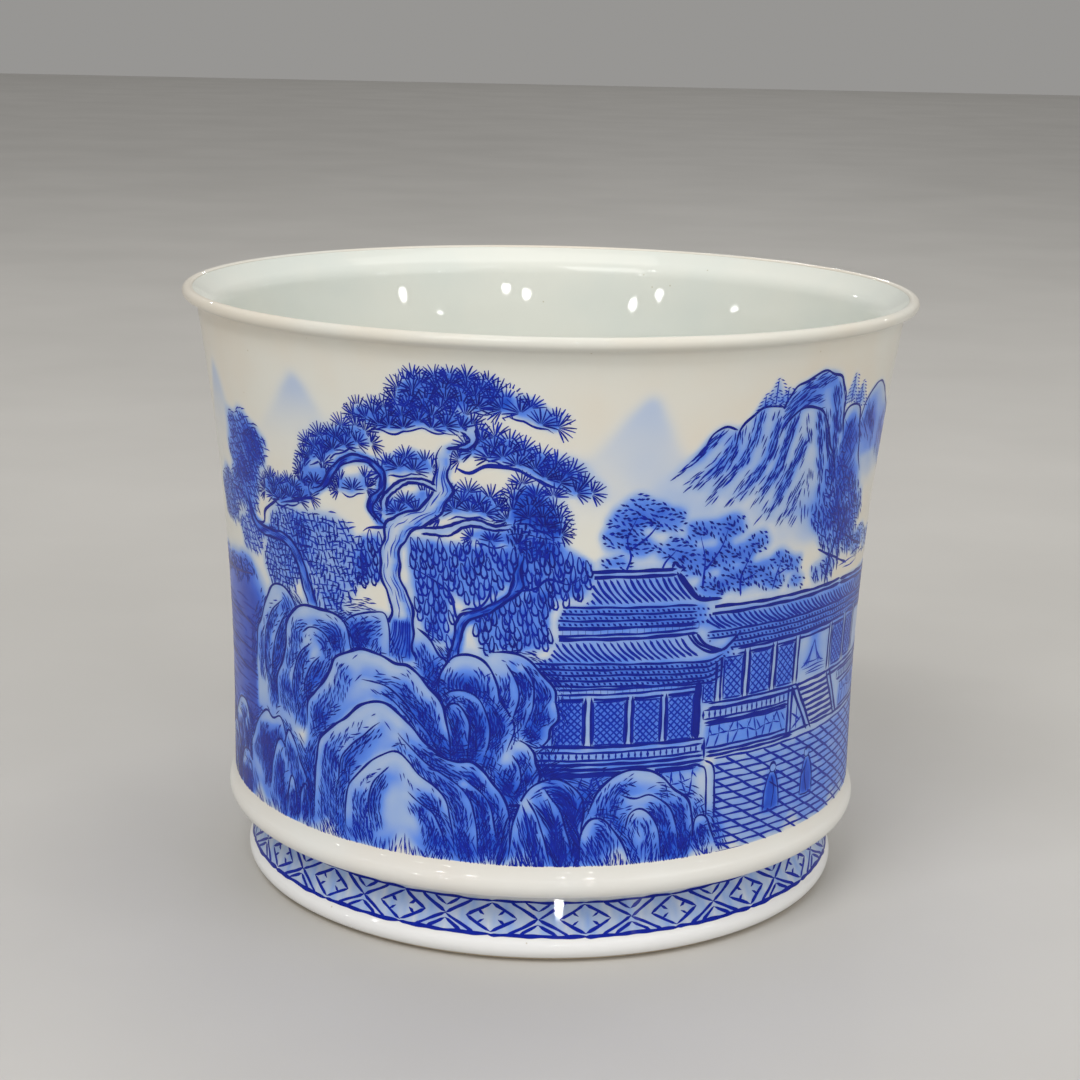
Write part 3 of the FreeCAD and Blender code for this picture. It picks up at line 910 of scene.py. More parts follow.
def paint_pavilion():
    ink = "ink_pavilion"
    cover([(4, 66), (20.5, 66), (22.2, 62.2), (25, 59.8), (28, 59.6), (24.6, 55.6), (26, 53.2), (31.8, 53.8),
           (29.5, 50.4), (25.8, 48), (26.4, 32.2), (-4, 32.2), (-4, 62)], 0.34, 0.3)
    brush(ink, [(19.2, 65.8), (19.6, 66.8), (20.4, 66.0), (21.4, 65.8), (20.6, 65.2)], 0.5, 0.95)
    rules(ink, [((6, 65.7), (20, 65.7)), ((5.6, 64.8), (20.2, 64.8))], 0.42, 0.95)
    tiles(ink, ((3.6, 64.5), (19.6, 64.5)), ((6.6, 60.5), (22.8, 60.5)), 17, 0.3)
    for shift in (0, 0.75, 1.6):
        brush(ink, [(20.0 + shift * 0.6, 65.2 - shift * 0.3), (21.6 + shift * 0.5, 62.6),
                    (24.2, 60.4 + shift * 0.2), (28.2, 60.1)], 0.4, 0.95)
    eaves(ink, [(1.0, 60.1), (13, 59.9), (22, 59.6), (25.6, 59.3)], 3.2, 3)
    beads(ink, (0.5, 55.5), (24.4, 55.7), 1.0, 1.05)
    rules(ink, [((0.6, 54.9), (24.3, 54.9))], 0.42)
    tiles(ink, ((-2.5, 54.4), (21.4, 54.4)), ((0.4, 51.3), (24.6, 51.1)), 24, 0.28)
    for shift in (0, 0.8, 1.6):
        brush(ink, [(22.4 + shift, 54.9), (24.2 + shift, 52.9), (27.4 + shift, 51.4 + 0.1 * shift),
                    (30.2, 52.3), (32.3, 54.2)], 0.4, 0.95)
    eaves(ink, [(-1.5, 51.0), (12, 50.8), (22, 50.3), (27.4, 50.2), (30.6, 52.0)], 3.6, 4)
    beads(ink, (2.0, 45.9), (26.0, 46.1), 0.8, 1.05)
    rules(ink, [((2.2, 45.1), (25.4, 45.2))], 0.34)
    for s0, s1 in ((1.6, 6.2), (7.8, 12.8), (14.2, 18.5), (19.8, 24.2)):
        lattice(ink, s0, s1, 37.7, 44.8, 1.05, 1.0)
    lattice(ink, 25.9, 28.0, 43.2, 46.4, 0.9, 1.0)
    for s, width in ((7.0, 1.0), (13.5, 0.9), (19.1, 0.85), (24.9, 0.9)):
        post(ink, s, 37.4, 45.5, width)
    rules(ink, [((25.0, 37.4), (25.0, 47))], 0.8)
    rules(ink, [((-1, 37.4), (26.6, 37.4))], 0.4)
    beads(ink, (-1, 35.2), (26.2, 35.2), 1.25, 0.98)
    rules(ink, [((-1, 34.5), (26.6, 34.5)), ((-1, 33.7), (26.8, 33.7)), ((-1, 33.0), (26.0, 33.0)),
                ((26.6, 37.3), (26.6, 33.8))], 0.38)
    brush(ink, [(25.4, 33.0), (27.0, 32.2), (27.3, 29), (27.4, 24)], 0.34)
    brush(ink, [(26.8, 33.6), (28.4, 32.4), (28.9, 29), (29.0, 23.5)], 0.38)
    wash(box(25, 29, 22, 33), 0.2, 0.5)
    ice_wall(ink, 1, 25.2, 28.4, 32.6)


def paint_leafy_tree():
    """The tree with hanging leaves beside the pavilion."""
    ink = "ink_leafy_tree"
    cover(curve([(-22, 66), (-19, 70.3), (-9, 70), (-4, 77), (0.6, 78.4), (1.6, 72), (6.4, 67.6), (6.6, 61),
                 (2.6, 59.6), (1.2, 52.4), (-3, 51), (-13, 50), (-19, 53), (-22, 60)]), 0.1, 0.4)
    for outline in (
        [(-21.6, 70), (-20.4, 60), (-18.4, 54), (-14.8, 53.6), (-14.4, 62), (-12.4, 69.6)],
        [(-12.4, 69.4), (-14.2, 62), (-12, 59.6), (-6.4, 62.4), (-3.4, 69.2)],
        [(-11.4, 58.4), (-4.4, 61.4), (0.8, 62.6), (0.6, 57), (1.4, 53.8), (-3, 52.8), (-9, 51.6)],
        [(-5, 66), (-1.8, 70.6), (1.6, 70.4), (6, 67.8), (6.6, 61.8), (0.8, 61.2), (-5, 63)],
    ):
        drops(ink, outline)
    net(ink, blob(-2, 71.6, 8, 7), 0.2, -1.3, 0.8, 0.9, 0.5)
    limb(ink, [(-15.8, 50.4), (-14.6, 53), (-13.6, 57.6), (-12.6, 58.6), (-9.6, 59.6), (-6.4, 61.8),
               (-4.8, 65.6), (-4, 68.6)],
         [(-12.6, 50.8), (-12.4, 54), (-11.6, 56.8), (-8.6, 58.4), (-5.4, 60.6), (-2.6, 63.2), (-3.4, 66),
          (-3.2, 68.6)], 0.42, slim=0.4)
    twig(ink, [(-13.4, 57.4), (-14.4, 61), (-16.6, 63.2), (-21, 65.2)], 0.42)
    twig(ink, [(-12.8, 58.8), (-11.6, 59.2), (-10, 59.4), (-8.4, 61.6), (-8, 65), (-9, 68)], 0.36)
    twig(ink, [(-4.6, 62.4), (-1.6, 63.0), (0.4, 64.4), (3.4, 63.8), (5.8, 65)], 0.42)


def paint_left_tree():
    """The bent tree at the left, with crossing leaves."""
    ink = "ink_left_tree"
    for outline in (blob(-57, 79, 12, 12, 6, 0.1), blob(-52.6, 79.6, 7, 7, 5, 0.1),
                    blob(-57.6, 72.4, 11, 8, 5, 0.1), blob(-66.4, 69, 11, 9, 5, 0.1)):
        net(ink, outline, slow=0.4, steep=-0.7, spacing=0.85, tone=0.84, strength=0.44)
    net(ink, curve([(-50.6, 66), (-48.6, 70.4), (-43, 71.4), (-40.6, 69), (-41.6, 62), (-44.6, 58),
                    (-49.6, 57), (-53, 60)]), 0.3, -1.2, 0.8)
    net(ink, curve([(-42.4, 70.8), (-34, 71.8), (-30, 68.6), (-29, 63.4), (-30.4, 60.4), (-34.4, 56.6),
                    (-38, 56.8), (-41, 62), (-43, 67)]), 0.32, -1.25, 0.86)
    net(ink, blob(-57, 64.6, 9, 7, 5, 0.1), 0.3, -0.8, 0.8, 0.75, 0.3)
    drops(ink, [(-29, 68.6), (-25.8, 70), (-25.6, 62.6), (-29.4, 61.2), (-30.6, 64)], 2.2, 1.3)
    limb(ink, [(-40.7, 55.4), (-41.7, 58.6), (-42.9, 61.8), (-44.9, 64.4), (-49.2, 65.2), (-52.4, 65.1),
               (-55.2, 66.7), (-57.0, 69.8), (-58.0, 72)],
         [(-38.6, 55.2), (-39.8, 58.4), (-41.0, 61.9), (-43.0, 65.1), (-46.2, 66.3), (-49.8, 66.3),
          (-52.7, 66.6), (-54.9, 68.2), (-56.8, 72)], 0.42, bark=0.8)
    brush(ink, [(-54, 67), (-53.4, 66.7), (-51.4, 67.2), (-50.9, 69), (-49.4, 70.2), (-46, 72.4)], 0.5, 0.95)
    twig(ink, [(-57.4, 70), (-60, 70.8), (-64.4, 71.2)], 0.5)


def paint_pine():
    """The great pine that leans over the rocks."""
    ink = "ink_pine"
    pine_pad(ink, [(-21.6, 91.0), (-18, 90.4), (-14, 90.6), (-9, 90.2), (-5.4, 90.6)], 4.4, 2.4)
    pine_pad(ink, [(-6.6, 90.4), (-4, 89.4), (-1.4, 88.4), (1.6, 87.2)], 2.6, 2.5)
    pine_pad(ink, [(-28.6, 87.6), (-25, 86.4), (-22, 86.2), (-18.4, 87.2), (-14.6, 86.6), (-10.6, 87.4)], 2.8,
             2.3)
    pine_pad(ink, [(-12.6, 82.6), (-10, 83.4), (-7, 82.6), (-4.4, 81.8), (-1, 80.2), (3, 78.4), (6, 77.2)],
             3.2, 2.4)
    pine_pad(ink, [(-39.6, 78.0), (-37.6, 79.4), (-34.4, 80.6), (-31, 82.4), (-26.6, 83.6)], 3.0, 2.3)
    pine_pad(ink, [(-40.2, 75.4), (-37.6, 75.0), (-34.8, 76.4)], 3.0, 2.2)
    pine_pad(ink, [(-24.6, 79.2), (-21.6, 79.6), (-18.6, 80.2), (-16.8, 80)], 2.6, 2.2)
    pine_pad(ink, [(-50, 72.4), (-46, 71.2), (-42.4, 72.0), (-38.8, 73)], 3.4, 2.2)
    pine_pad(ink, [(-32.6, 75.6), (-30.4, 75.2), (-27.2, 76.6)], 2.2, 2.0, 0.4)
    pine_pad(ink, [(-25.0, 72.8), (-22.4, 72.4), (-19.6, 73.6), (-17.6, 75.6)], 2.6, 2.1, 0.5)
    pine_pad(ink, [(-15.4, 73.2), (-13.4, 73.8), (-10, 74.0), (-6.6, 73.4)], 3.4, 2.3)
    pine_pad(ink, [(-5.4, 73.4), (-3, 73.4), (-0.6, 72.2), (2, 70.6)], 5.2, 2.3, 0.7)
    pine_pad(ink, [(-11, 70.2), (-8, 69.6), (-4.6, 69.8)], 1.6, 1.9, 0.5)
    limb(ink, [(-27.8, 50), (-25.4, 53.6), (-24.2, 57), (-24.4, 60), (-25.6, 62.4), (-25.8, 65.4),
               (-25.2, 69), (-24.2, 71.8), (-22.2, 73.2), (-19.4, 74.2), (-17.6, 76.2), (-16.4, 79.4),
               (-16.2, 82), (-15, 84.6)],
         [(-20.2, 50), (-20.6, 53), (-20.3, 56.2), (-20.9, 59.4), (-22.3, 62.4), (-22.6, 65), (-22.0, 68),
          (-20.4, 70.6), (-17.6, 72.4), (-15.2, 74.8), (-13.8, 77.6), (-14.3, 80.2), (-14.0, 82.6),
          (-13.4, 84.6)],
         0.18, 0.7, 0.46, knots=0.36)
    wash([(-27.4, 50), (-25, 54.4), (-24, 56.6), (-20.4, 56.4), (-20.4, 50)], 0.45, 0.4)
    for share in np.linspace(0.12, 0.88, 8):
        brush(ink, [(-27 + 6.6 * share, 50.2), (-24.6 + 4 * share, 53.2), (-23.9 + 3.2 * share, 56.2)], 0.26,
              0.8)
    limb(ink, [(-14.8, 84.2), (-12.6, 84.9), (-11.4, 85.8), (-13.6, 86.4)],
         [(-13.8, 84.6), (-11.2, 84.4), (-9.6, 85.8), (-9.2, 88.6)], 0.3, grain=False, slim=0.5)
    limb(ink, [(-18.6, 71.6), (-15.6, 71.9), (-13, 73.2), (-10, 73.6), (-7.4, 72.8), (-5, 72.9)],
         [(-18.8, 70.4), (-15, 70.5), (-12.4, 71.9), (-10, 72.3), (-7.4, 71.7), (-5, 72.1)], 0.34,
         grain=False, slim=0.2)
    limb(ink, [(-16.4, 78.4), (-18.4, 79.4), (-20.6, 79.2), (-23, 78), (-24.8, 76), (-25.2, 73.6)],
         [(-16.2, 77.2), (-18, 78.2), (-20.4, 78.2), (-22.4, 77.2), (-24, 75.4), (-24.2, 73.2)], 0.34,
         grain=False, slim=0.2)
    limb(ink, [(-26, 71.4), (-27.6, 73.4), (-27.2, 75.4), (-25.6, 77.2), (-25.4, 79.2), (-27.6, 80.8),
               (-31, 80.2), (-33.4, 77.8), (-35.4, 75.4), (-38.4, 74)],
         [(-24.4, 71.2), (-26.4, 73.2), (-26.0, 75), (-24.4, 77), (-24.5, 79.9), (-27.4, 82), (-31.4, 81.4),
          (-34.2, 78.8), (-36.2, 76.2), (-38.6, 75.0)], 0.34, bark=0.8, line=0.4, slim=0.25)
    twig(ink, [(-13.2, 81.4), (-11.2, 80.8), (-8.6, 82), (-5.4, 81.8), (-2, 80.4), (0, 79.2), (3.4, 78.4)],
         0.6)
    twig(ink, [(-38, 73.6), (-42, 72.6), (-46, 71.4)], 0.6)
    twig(ink, [(-24.4, 71), (-27.4, 70.4), (-28.6, 69.6)], 0.5)


def paint_rocks():
    ink = "ink_rocks"
    rock(ink, [(-33, 50.4), (-33.4, 53.4), (-31, 55.8), (-27.4, 56.8), (-25, 56.4), (-24.6, 50)],
         foot=50, crown=0.75, far=4.5, line=0.3, crease=0.1, shadow=0.5)
    rock(ink, [(-19.8, 55.4), (-17.8, 53.8), (-16.2, 51.2), (-15.2, 50.2), (-15, 46)],
         foot=44, crown=0, far=4, crease=0.2, shadow=0.6)
    rock(ink, [(-57.6, 41), (-56.8, 47.4), (-55, 50), (-52.8, 53.6), (-50.6, 56.6), (-47.4, 57.5),
               (-45, 56), (-43, 52)],
         foot=34, crown=0.62, gap=0.1, far=4, crease=0.15,
         folds=[groove([(-47.4, 55.2), (-50.6, 52.6), (-53.2, 49), (-54.2, 45), (-53.8, 41), (-52, 37)],
                       1.8),
                groove([(-46.4, 53), (-49.4, 49.4), (-51.4, 45), (-51.6, 41), (-50.6, 38)], 1.8)])
    rock(ink, [(-50.0, 36.6), (-50.2, 41.4), (-48.4, 44.4), (-47.2, 48), (-46.6, 51.4), (-44.8, 53.6),
               (-41.8, 55.4), (-38.4, 55.4), (-34.8, 55.2), (-32.6, 53.2), (-31.8, 49)],
         foot=34, crown=0.62, gap=0.1, far=5, reach=2.4, crease=0.8, line=0.5,
         folds=[fold([(-42.6, 50.6), (-41, 51.8), (-38.8, 52.0), (-36.8, 51.2), (-35.8, 49.4)], far=2.4,
                     crown=0.3),
                groove([(-40.4, 49.4), (-42.8, 47.6), (-44.6, 44.8), (-45.6, 41.6), (-45.4, 38.4)], 2.2),
                groove([(-38.6, 47.4), (-41, 45), (-42.4, 42.4), (-42.6, 39.4)], 1.8)])
    rock(ink, [(-16.4, 45), (-16.2, 48.2), (-14.4, 50.8), (-12, 51.8), (-9.8, 51.4), (-8.2, 49.8),
               (-7, 47.4), (-6.6, 44.8), (-5.2, 42.6), (-4.4, 40.2), (-5.4, 36.4)],
         foot=33, crown=0.33, far=6, gap=0.05, crease=0.6,
         folds=[fold([(-16, 44.4), (-14, 45.8), (-11.6, 45.8), (-9.6, 44.4), (-8.4, 41.6), (-8.2, 38),
                      (-9.4, 34.6)], far=2.6, crown=0.2, crease=0.75, reach=2.2),
                fold([(-13.4, 44), (-11.8, 41.4), (-11.4, 38.4), (-12, 35.4)], far=2.4)])
    rock(ink, [(-8.4, 52.4), (-5.4, 52.7), (-2.2, 51.6), (-0.2, 49.2), (1.8, 46.8), (1.9, 44.6), (2.5, 42),
               (1.3, 40.4), (0.9, 38.6), (-0.8, 37.2), (-3.4, 38.6)],
         crown=0.05, far=4.0, gap=0.03, crease=0.1,
         folds=[fold([(-5.8, 50.8), (-4.2, 48.2), (-3.8, 45), (-4.6, 41.6)], far=2.6, crease=0.7,
                     reach=2.4),
                fold([(-3.4, 51), (-1.6, 48), (-1.4, 44.6), (-2.8, 40.4)], far=2.0)])
    rock(ink, [(-15.6, 37), (-15.6, 41.4), (-14.4, 43.6), (-12.8, 43.4), (-11.4, 40.8), (-11.4, 38),
               (-12, 35)], crown=0.35, far=2.6, gap=0.05, crease=0.7, reach=1.2, line=0.36)
    rock(ink, [(-3.8, 38.4), (-2.4, 37.8), (-1.2, 36.4), (-1.0, 34.6), (-0.2, 32.8), (-0.7, 30.8),
               (-2, 28.6), (-4.4, 27.6), (-7, 28.8), (-7.4, 33)],
         crown=0.02, gap=0.0, far=3.4, crease=0.2, shadow=0.6,
         folds=[fold([(-4.6, 36), (-3.4, 34), (-3.2, 31.6), (-4.4, 29.4)], far=1.8, reach=1.6, crease=0.6)])
    rock(ink, [(-42.2, 35), (-41.8, 39), (-40, 41.2), (-37.6, 43.6), (-36.4, 46), (-35.2, 48),
               (-32.2, 49.6), (-29.8, 50.3), (-26.4, 50.0), (-23.8, 49.0), (-21.6, 49.1), (-20, 48),
               (-18, 45.8), (-16.2, 44.0), (-15.2, 41), (-14.6, 38), (-14.2, 33.4)],
         foot=28, crown=0.5, gap=0.13, near=1.3, far=4.6, crease=0.9, reach=2.8, bright=2.6, line=0.5,
         shadow=0.55,
         folds=[fold([(-30, 45.4), (-27.4, 45.2), (-24.8, 44.8), (-22.4, 43), (-20.2, 40.6), (-17.6, 37.4),
                      (-15.6, 33.6)], far=2.4, crown=0.05, crease=0.7, reach=2.0),
                fold([(-26.6, 43.6), (-24.2, 42.8), (-22, 41), (-20, 38.6)], far=1.6, crease=0.45,
                     reach=1.2)])
    for contour, options in (
        ([(-60.6, 27.4), (-57.4, 32), (-54.2, 34.4), (-52, 33.8), (-49.4, 34.5), (-47.6, 31), (-46, 24)],
         dict(crown=0.45, near=1.0, far=9, lean=0.6, crease=0.5)),
        ([(-52.8, 22), (-52, 27), (-50.2, 30.4), (-48.6, 30.2), (-47, 27), (-46.4, 22)],
         dict(crown=0.5, far=4, crease=0.6)),
        ([(-48.4, 29.4), (-47.2, 33.0), (-45.6, 31.8), (-44, 28.8), (-42.4, 26), (-41, 22)],
         dict(crown=0.2, far=4, crease=0.9)),
        ([(-47.6, 19), (-47.2, 23.4), (-46.2, 25.4), (-45.2, 23.2), (-44.8, 19)],
         dict(crown=0.5, far=1.6, crease=0.8)),
        ([(-44.2, 19), (-43.8, 23.0), (-42.6, 25.0), (-41.6, 22.8), (-41.2, 19)],
         dict(crown=0.5, far=1.6, crease=0.8)),
    ):
        rock(ink, contour, foot=17, line=0.36, pale=0.45, **options)
    rock(ink, [(-40.4, 20), (-40.2, 28), (-39.2, 33), (-37.4, 35.2), (-34, 37.8), (-30.6, 40.8),
               (-27.6, 42.1), (-24.6, 41.7), (-21.6, 39.6), (-19, 37.2), (-16, 34.8), (-13.4, 34.2),
               (-11, 34.3), (-9, 33.1), (-7.6, 31.2), (-5.6, 28.6), (-5, 25.6), (-4.8, 20)],
         foot=17, crown=0.46, gap=0.1, near=1.3, far=5.0, crease=0.95, reach=2.6, bright=2.4, line=0.5,
         shadow=0.6,
         folds=[groove([(-26.6, 38.8), (-29.4, 36.4), (-32.4, 33.8), (-34.2, 31.8), (-34.6, 29.6),
                        (-35, 26.4)], 2.4, crease=0.75),
                fold([(-23.4, 37.6), (-20, 34.6), (-16.4, 32.2), (-13.0, 30.2), (-10.8, 27.2), (-10, 23),
                      (-9.8, 18.6)], far=2.8, crease=0.75, reach=2.4),
                fold([(-12.4, 31.6), (-9.4, 29.6), (-7.6, 26.4), (-7.0, 21.6)], far=1.6, crease=0.4,
                     reach=1.4)])
    rock(ink, [(-33.4, 19), (-33.2, 25.6), (-31.4, 29), (-28.8, 31.6), (-26.4, 33.4), (-23.6, 34.4),
               (-21.4, 33.2), (-19.6, 31.2), (-17, 29.8), (-15.2, 27.6), (-14.2, 23.6), (-13.4, 18.6)],
         foot=17, crown=0.48, gap=0.16, near=1.2, far=5, crease=0.8, reach=2.4, bright=2.8, line=0.32,
         shadow=0.5,
         folds=[groove([(-25.4, 31.6), (-27.8, 28.6), (-28.8, 25.4), (-28.4, 21.4)], 2.2, crease=0.6),
                fold([(-21.6, 28.2), (-19.2, 26.4), (-17.2, 25.0), (-15.8, 22.4), (-15.2, 19)], far=2.4,
                     crease=0.6)])
    rock(ink, [(-5.0, 18.6), (-4.4, 24), (-3.4, 28), (-1.2, 31.2), (2, 32.2), (4.6, 31.2), (6.4, 29),
               (6.8, 26), (6.4, 23.4), (7.4, 18.6)],
         foot=17, crown=0.3, gap=0.0, near=0.6, far=4, crease=0.8, shadow=0.6, line=0.36, bright=0.4,
         length=2.6,
         folds=[fold([(0.4, 30.8), (2.8, 27.4), (4.2, 23), (5.2, 18.6)], far=2.4, crease=0.5, length=3.2,
                     lean=0.2),
                fold([(-2.2, 29), (-0.4, 25.6), (0.6, 22), (1.6, 18)], far=2.4, crease=0.6, length=3.2,
                     lean=0.2)])
    rock(ink, [(7.0, 25.6), (8.4, 29.2), (11, 32.2), (14, 33.3), (17, 33.2), (19.6, 31.6), (21.6, 29.4),
               (24, 27.4), (24.8, 25), (25.2, 21), (25.6, 18)],
         foot=17.2, crown=0.46, gap=0.1, near=0.9, far=4.4, crease=0.8, bright=1.8,
         folds=[fold([(12.4, 29.4), (15, 28.6), (17.6, 29), (20.4, 27), (22, 23.6), (22.6, 19)], far=2.8,
                     crown=0.2, crease=0.6, reach=2.0),
                fold([(13.4, 23), (14, 26.0), (16, 26.8), (18.2, 25), (19.2, 21.6), (19.6, 18)], far=2.4,
                     crown=0.35, crease=0.75, reach=1.8)])
    rock(ink, [(6.2, 18.6), (6.4, 23), (7.6, 25.4), (9.8, 25.4), (11.8, 23.4), (13.4, 20.4), (14.4, 17.6)],
         foot=17.2, crown=0.3, gap=0, near=0.5, far=3, crease=0.8, reach=1.6, line=0.36)
    rock(ink, [(25, 20), (25.4, 24), (27.2, 24.2), (28.4, 22), (29.6, 18.6)],
         foot=17.4, crown=0.3, far=3, gap=0, crease=0.5, line=0.34)


def paint_ground_edge(s0, s1, base=17.2, spacing=0.75):
    """The ragged lower edge of the landscape: strokes that thin out as they run down."""
    ink = "ink_rocks"
    wash(box(s0, s1, base - 0.4, base + 4), 0.3, 1.2)
    at = np.arange(s0, s1, spacing)
    reach = 1.6 * np.sin(at * 0.37) + 1.2 * np.sin(at * 0.83 + 1)
    for drop in (0.0, 1.0, 2.0):
        n = len(at)
        start = np.column_stack([at + rng.uniform(-0.3, 0.3, n),
                                 base + 3.6 - drop + reach + rng.uniform(-1, 1, n)])
        heading = -1.35 + 0.35 * np.sin(at * 0.31)
        length = np.minimum(spread(n, 2.6, 0.4), start[:, 1] - base + 0.2)
        dashes(ink, start, heading + rng.normal(0, 0.12, n), length, 0.24, 0.8, tail=0.8)


BAND_REPEATS = 21


def paint_foot_band():
    """A fret of lozenges and angled bars between two lines round the foot."""
    ink = "foot_band_ink"
    low, high = BAND_Z
    tall = high - low
    pitch = 2 * HALF_TURN / BAND_REPEATS
    for z, width in ((low - 0.1, 0.55), (high, 0.36)):
        for k in range(BAND_REPEATS):
            start = -HALF_TURN + k * pitch
            border = [(start - 0.3, z), (start + pitch / 2, z + 0.05), (start + pitch + 0.3, z)]
            brush(ink, border, width, 0.9)
    for k in range(BAND_REPEATS):
        middle = -HALF_TURN + (k + 0.5) * pitch

        def at(across, up):
            return (middle + across * pitch, low + up * tall)

        for side in (-1, 1):
            lines = [
                [at(0, 0.5), at(side * 0.31, 1.02)], [at(0, 0.5), at(side * 0.34, -0.02)],
                [at(0, 0.34), at(side * 0.20, 0.0)], [at(side * 0.225, 0.5), at(side * 0.5, 0.95)],
                [at(side * 0.225, 0.5), at(side * 0.5, 0.06)], [at(0, 0.74), at(side * 0.15, 1.0)],
                [at(side * 0.345, 0.30), at(side * 0.425, 0.45)],
                [at(side * 0.345, 0.72), at(side * 0.425, 0.57)],
            ]
            for a, b in lines:
                rule(ink, a, b, 0.36, 0.86)


def paint_left_shore():
    """Dark water, a wooded bank and low rocks at the left of the great rocks; the deepest wash is partly
    their own cobalt and partly painted shade.
    """
    ink = "ink_shore"
    bank = [(-112, 40), (-104, 48), (-92, 53), (-80, 55), (-68, 57), (-56, 58), (-50, 45), (-52, 17),
            (-112, 17)]
    wash(curve(bank), 0.5, 2.4)
    # This deep wash is partly the water's own dark cobalt and partly painted shade for the pot's darker left
    # side.
    wash(curve([(-104, 50), (-74, 56), (-57, 57), (-52, 40), (-54, 20), (-104, 22)]), 0.85, 2.4,
         fade=((-62, 40), (-106, 40)))
    ripples(ink, -108, -55, 31, 52, 0.85, 0.85, 0.28)
    for line in (
        [(-86, 54), (-76, 55), (-68, 55.6), (-57, 57)],
        [(-90, 47), (-80, 47.4), (-66, 48.6), (-57, 47.6)],
        [(-96, 38.6), (-84, 39.4), (-70, 40), (-55, 39.4)],
        [(-82, 43), (-72, 43.2), (-57, 43.4)],
    ):
        brush(ink, line, 0.42, 0.95)
    for s, z, w, h in ((-60, 58, 8, 4), (-66, 56.6, 9, 5), (-74, 56.4, 9, 5), (-82, 55, 9, 5),
                       (-90, 53, 9, 4.4), (-98, 50.4, 8, 3.6)):
        dots(ink, blob(s, z, w, h, 5, 0.1, s))
        stem(ink, s, z)
    for s, low, width, height in ((-66, 20, 15, 14), (-80, 20, 17, 13), (-95, 19, 16, 13), (-73, 17, 14, 10),
                                  (-87, 17, 14, 9), (-103, 17, 13, 10), (-63, 17, 9, 8)):
        boulder(s, low, width, height, ink=ink, pale=0.45)


def paint_front():
    paint_far_mountains()
    paint_right_mountain()
    paint_dark_trees()
    paint_dotted_trees()
    paint_gallery()
    paint_figures()
    paint_pavilion()
    paint_left_shore()
    paint_left_tree()
    paint_leafy_tree()
    paint_pine()
    paint_rocks()
    paint_ground_edge(-103, 29)


# ---------------------------------------------------------------- The landscape, back

# Here s runs on past the half turn.


def kiosk(ink, s, z, width, height):
    """A small open pavilion with upturned eaves."""
    half = width / 2
    roof = z + 0.6 * height
    cover([(s - half - 2, roof), (s - 0.14 * width, z + height), (s + 0.14 * width, z + height),
           (s + half + 2, roof), (s + half, z - 1), (s - half, z - 1)], 0.36)
    tiles(ink, ((s - 0.12 * width, z + height), (s + 0.12 * width, z + height)),
          ((s - half - 0.6, roof + 0.6), (s + half + 0.6, roof + 0.6)), round(width), 0.28)
    eaves(ink, [(s - half - 1.8, roof + 1.2), (s - half, roof), (s, roof - 0.2), (s + half, roof),
                (s + half + 1.8, roof + 1.2)], 2.0, 2)
    brush(ink, [(s - 0.16 * width, z + height), (s + 0.16 * width, z + height)], 0.6)
    for side in (-1, 1):
        brush(ink, [(s + side * 0.13 * width, z + height), (s + side * 0.27 * width, z + 0.78 * height),
                    (s + side * (half + 0.4), roof + 0.6), (s + side * (half + 2.6), roof + 1.8)], 0.42)
        lattice(ink, s + side * 0.3 * width - 1.6, s + side * 0.3 * width + 1.6, z + 2.2, roof - 2.6)
    for share in (-0.44, -0.16, 0.16, 0.44):
        post(ink, s + share * width, z + 2, roof - 2, 0.8)
    beads(ink, (s - half, z + 0.8), (s + half, z + 0.8), 1.2)
    rules(ink, [((s - half - 1, z), (s + half + 1, z)), ((s - half - 1, z - 0.8), (s + half + 1, z - 0.8))],
          0.4)


def standing_pine(ink, s, z, height, lean=1):
    """A pine with flat clouds of foliage about a bent trunk."""
    def at(across, up):
        return (s + lean * across * height, z + up * height)

    for across, up, width, tall in ((-0.02, 0.93, 0.44, 3.4), (0.27, 0.78, 0.4, 2.8), (-0.3, 0.72, 0.36, 2.8),
                                    (0.3, 0.56, 0.3, 2.4), (-0.24, 0.5, 0.28, 2.4)):
        pine_pad(ink, sorted([at(across - width / 2, up - 0.03), at(across - width / 6, up),
                              at(across + width / 6, up + 0.01), at(across + width / 2, up - 0.04)]), tall)
    for tip in ((0.3, 0.77), (-0.3, 0.7), (0.3, 0.55), (-0.26, 0.49)):
        twig(ink, [at(0, tip[1] - 0.16), at(tip[0] * 0.4, tip[1] - 0.07), at(*tip)], 0.55)
    limb(ink, [at(-0.08, 0), at(-0.02, 0.2), at(-0.07, 0.48), at(-0.02, 0.7), at(-0.04, 0.92)],
         [at(0.06, 0), at(0.06, 0.2), at(0, 0.48), at(0.03, 0.7), at(-0.01, 0.92)])


def willow(ink, s, z, height):
    """A willow: a bent trunk and curtains of thin hanging twigs."""
    for across, top, width, drop in ((-0.3, 0.86, 0.3, 0.5), (0.02, 1.0, 0.4, 0.5), (0.34, 0.84, 0.3, 0.55)):
        middle = (s + across * height, z + (top - drop / 2) * height)
        wash(blob(*middle, width * height, drop * height), 0.36, 1.2)
        count = int(width * height * 5)
        start = np.column_stack([middle[0] + rng.uniform(-0.5, 0.5, count) * width * height,
                                 z + (top - rng.uniform(0, 0.5, count) * drop) * height])
        start[:, 1] -= 1.6 * ((start[:, 0] - middle[0]) / (width * height / 2)) ** 2
        dashes(ink, start, -math.pi / 2 + rng.normal(0, 0.06, count),
               spread(count, drop * height * 0.55, 0.3), 0.24, spread(count, 0.85, 0.1),
               bend=0.1, head=0.2, tail=0.8, sections=6)
        twig(ink, [(s, z + 0.42 * height), (s + 0.5 * across * height, z + (top - 0.12) * height),
                   (s + across * 1.25 * height, z + top * height)], 0.5)
    limb(ink, [(s - 1.6, z), (s - 0.2, z + 0.22 * height), (s - 1.0, z + 0.5 * height)],
         [(s + 1.2, z), (s + 1.6, z + 0.22 * height), (s + 0.4, z + 0.5 * height)])


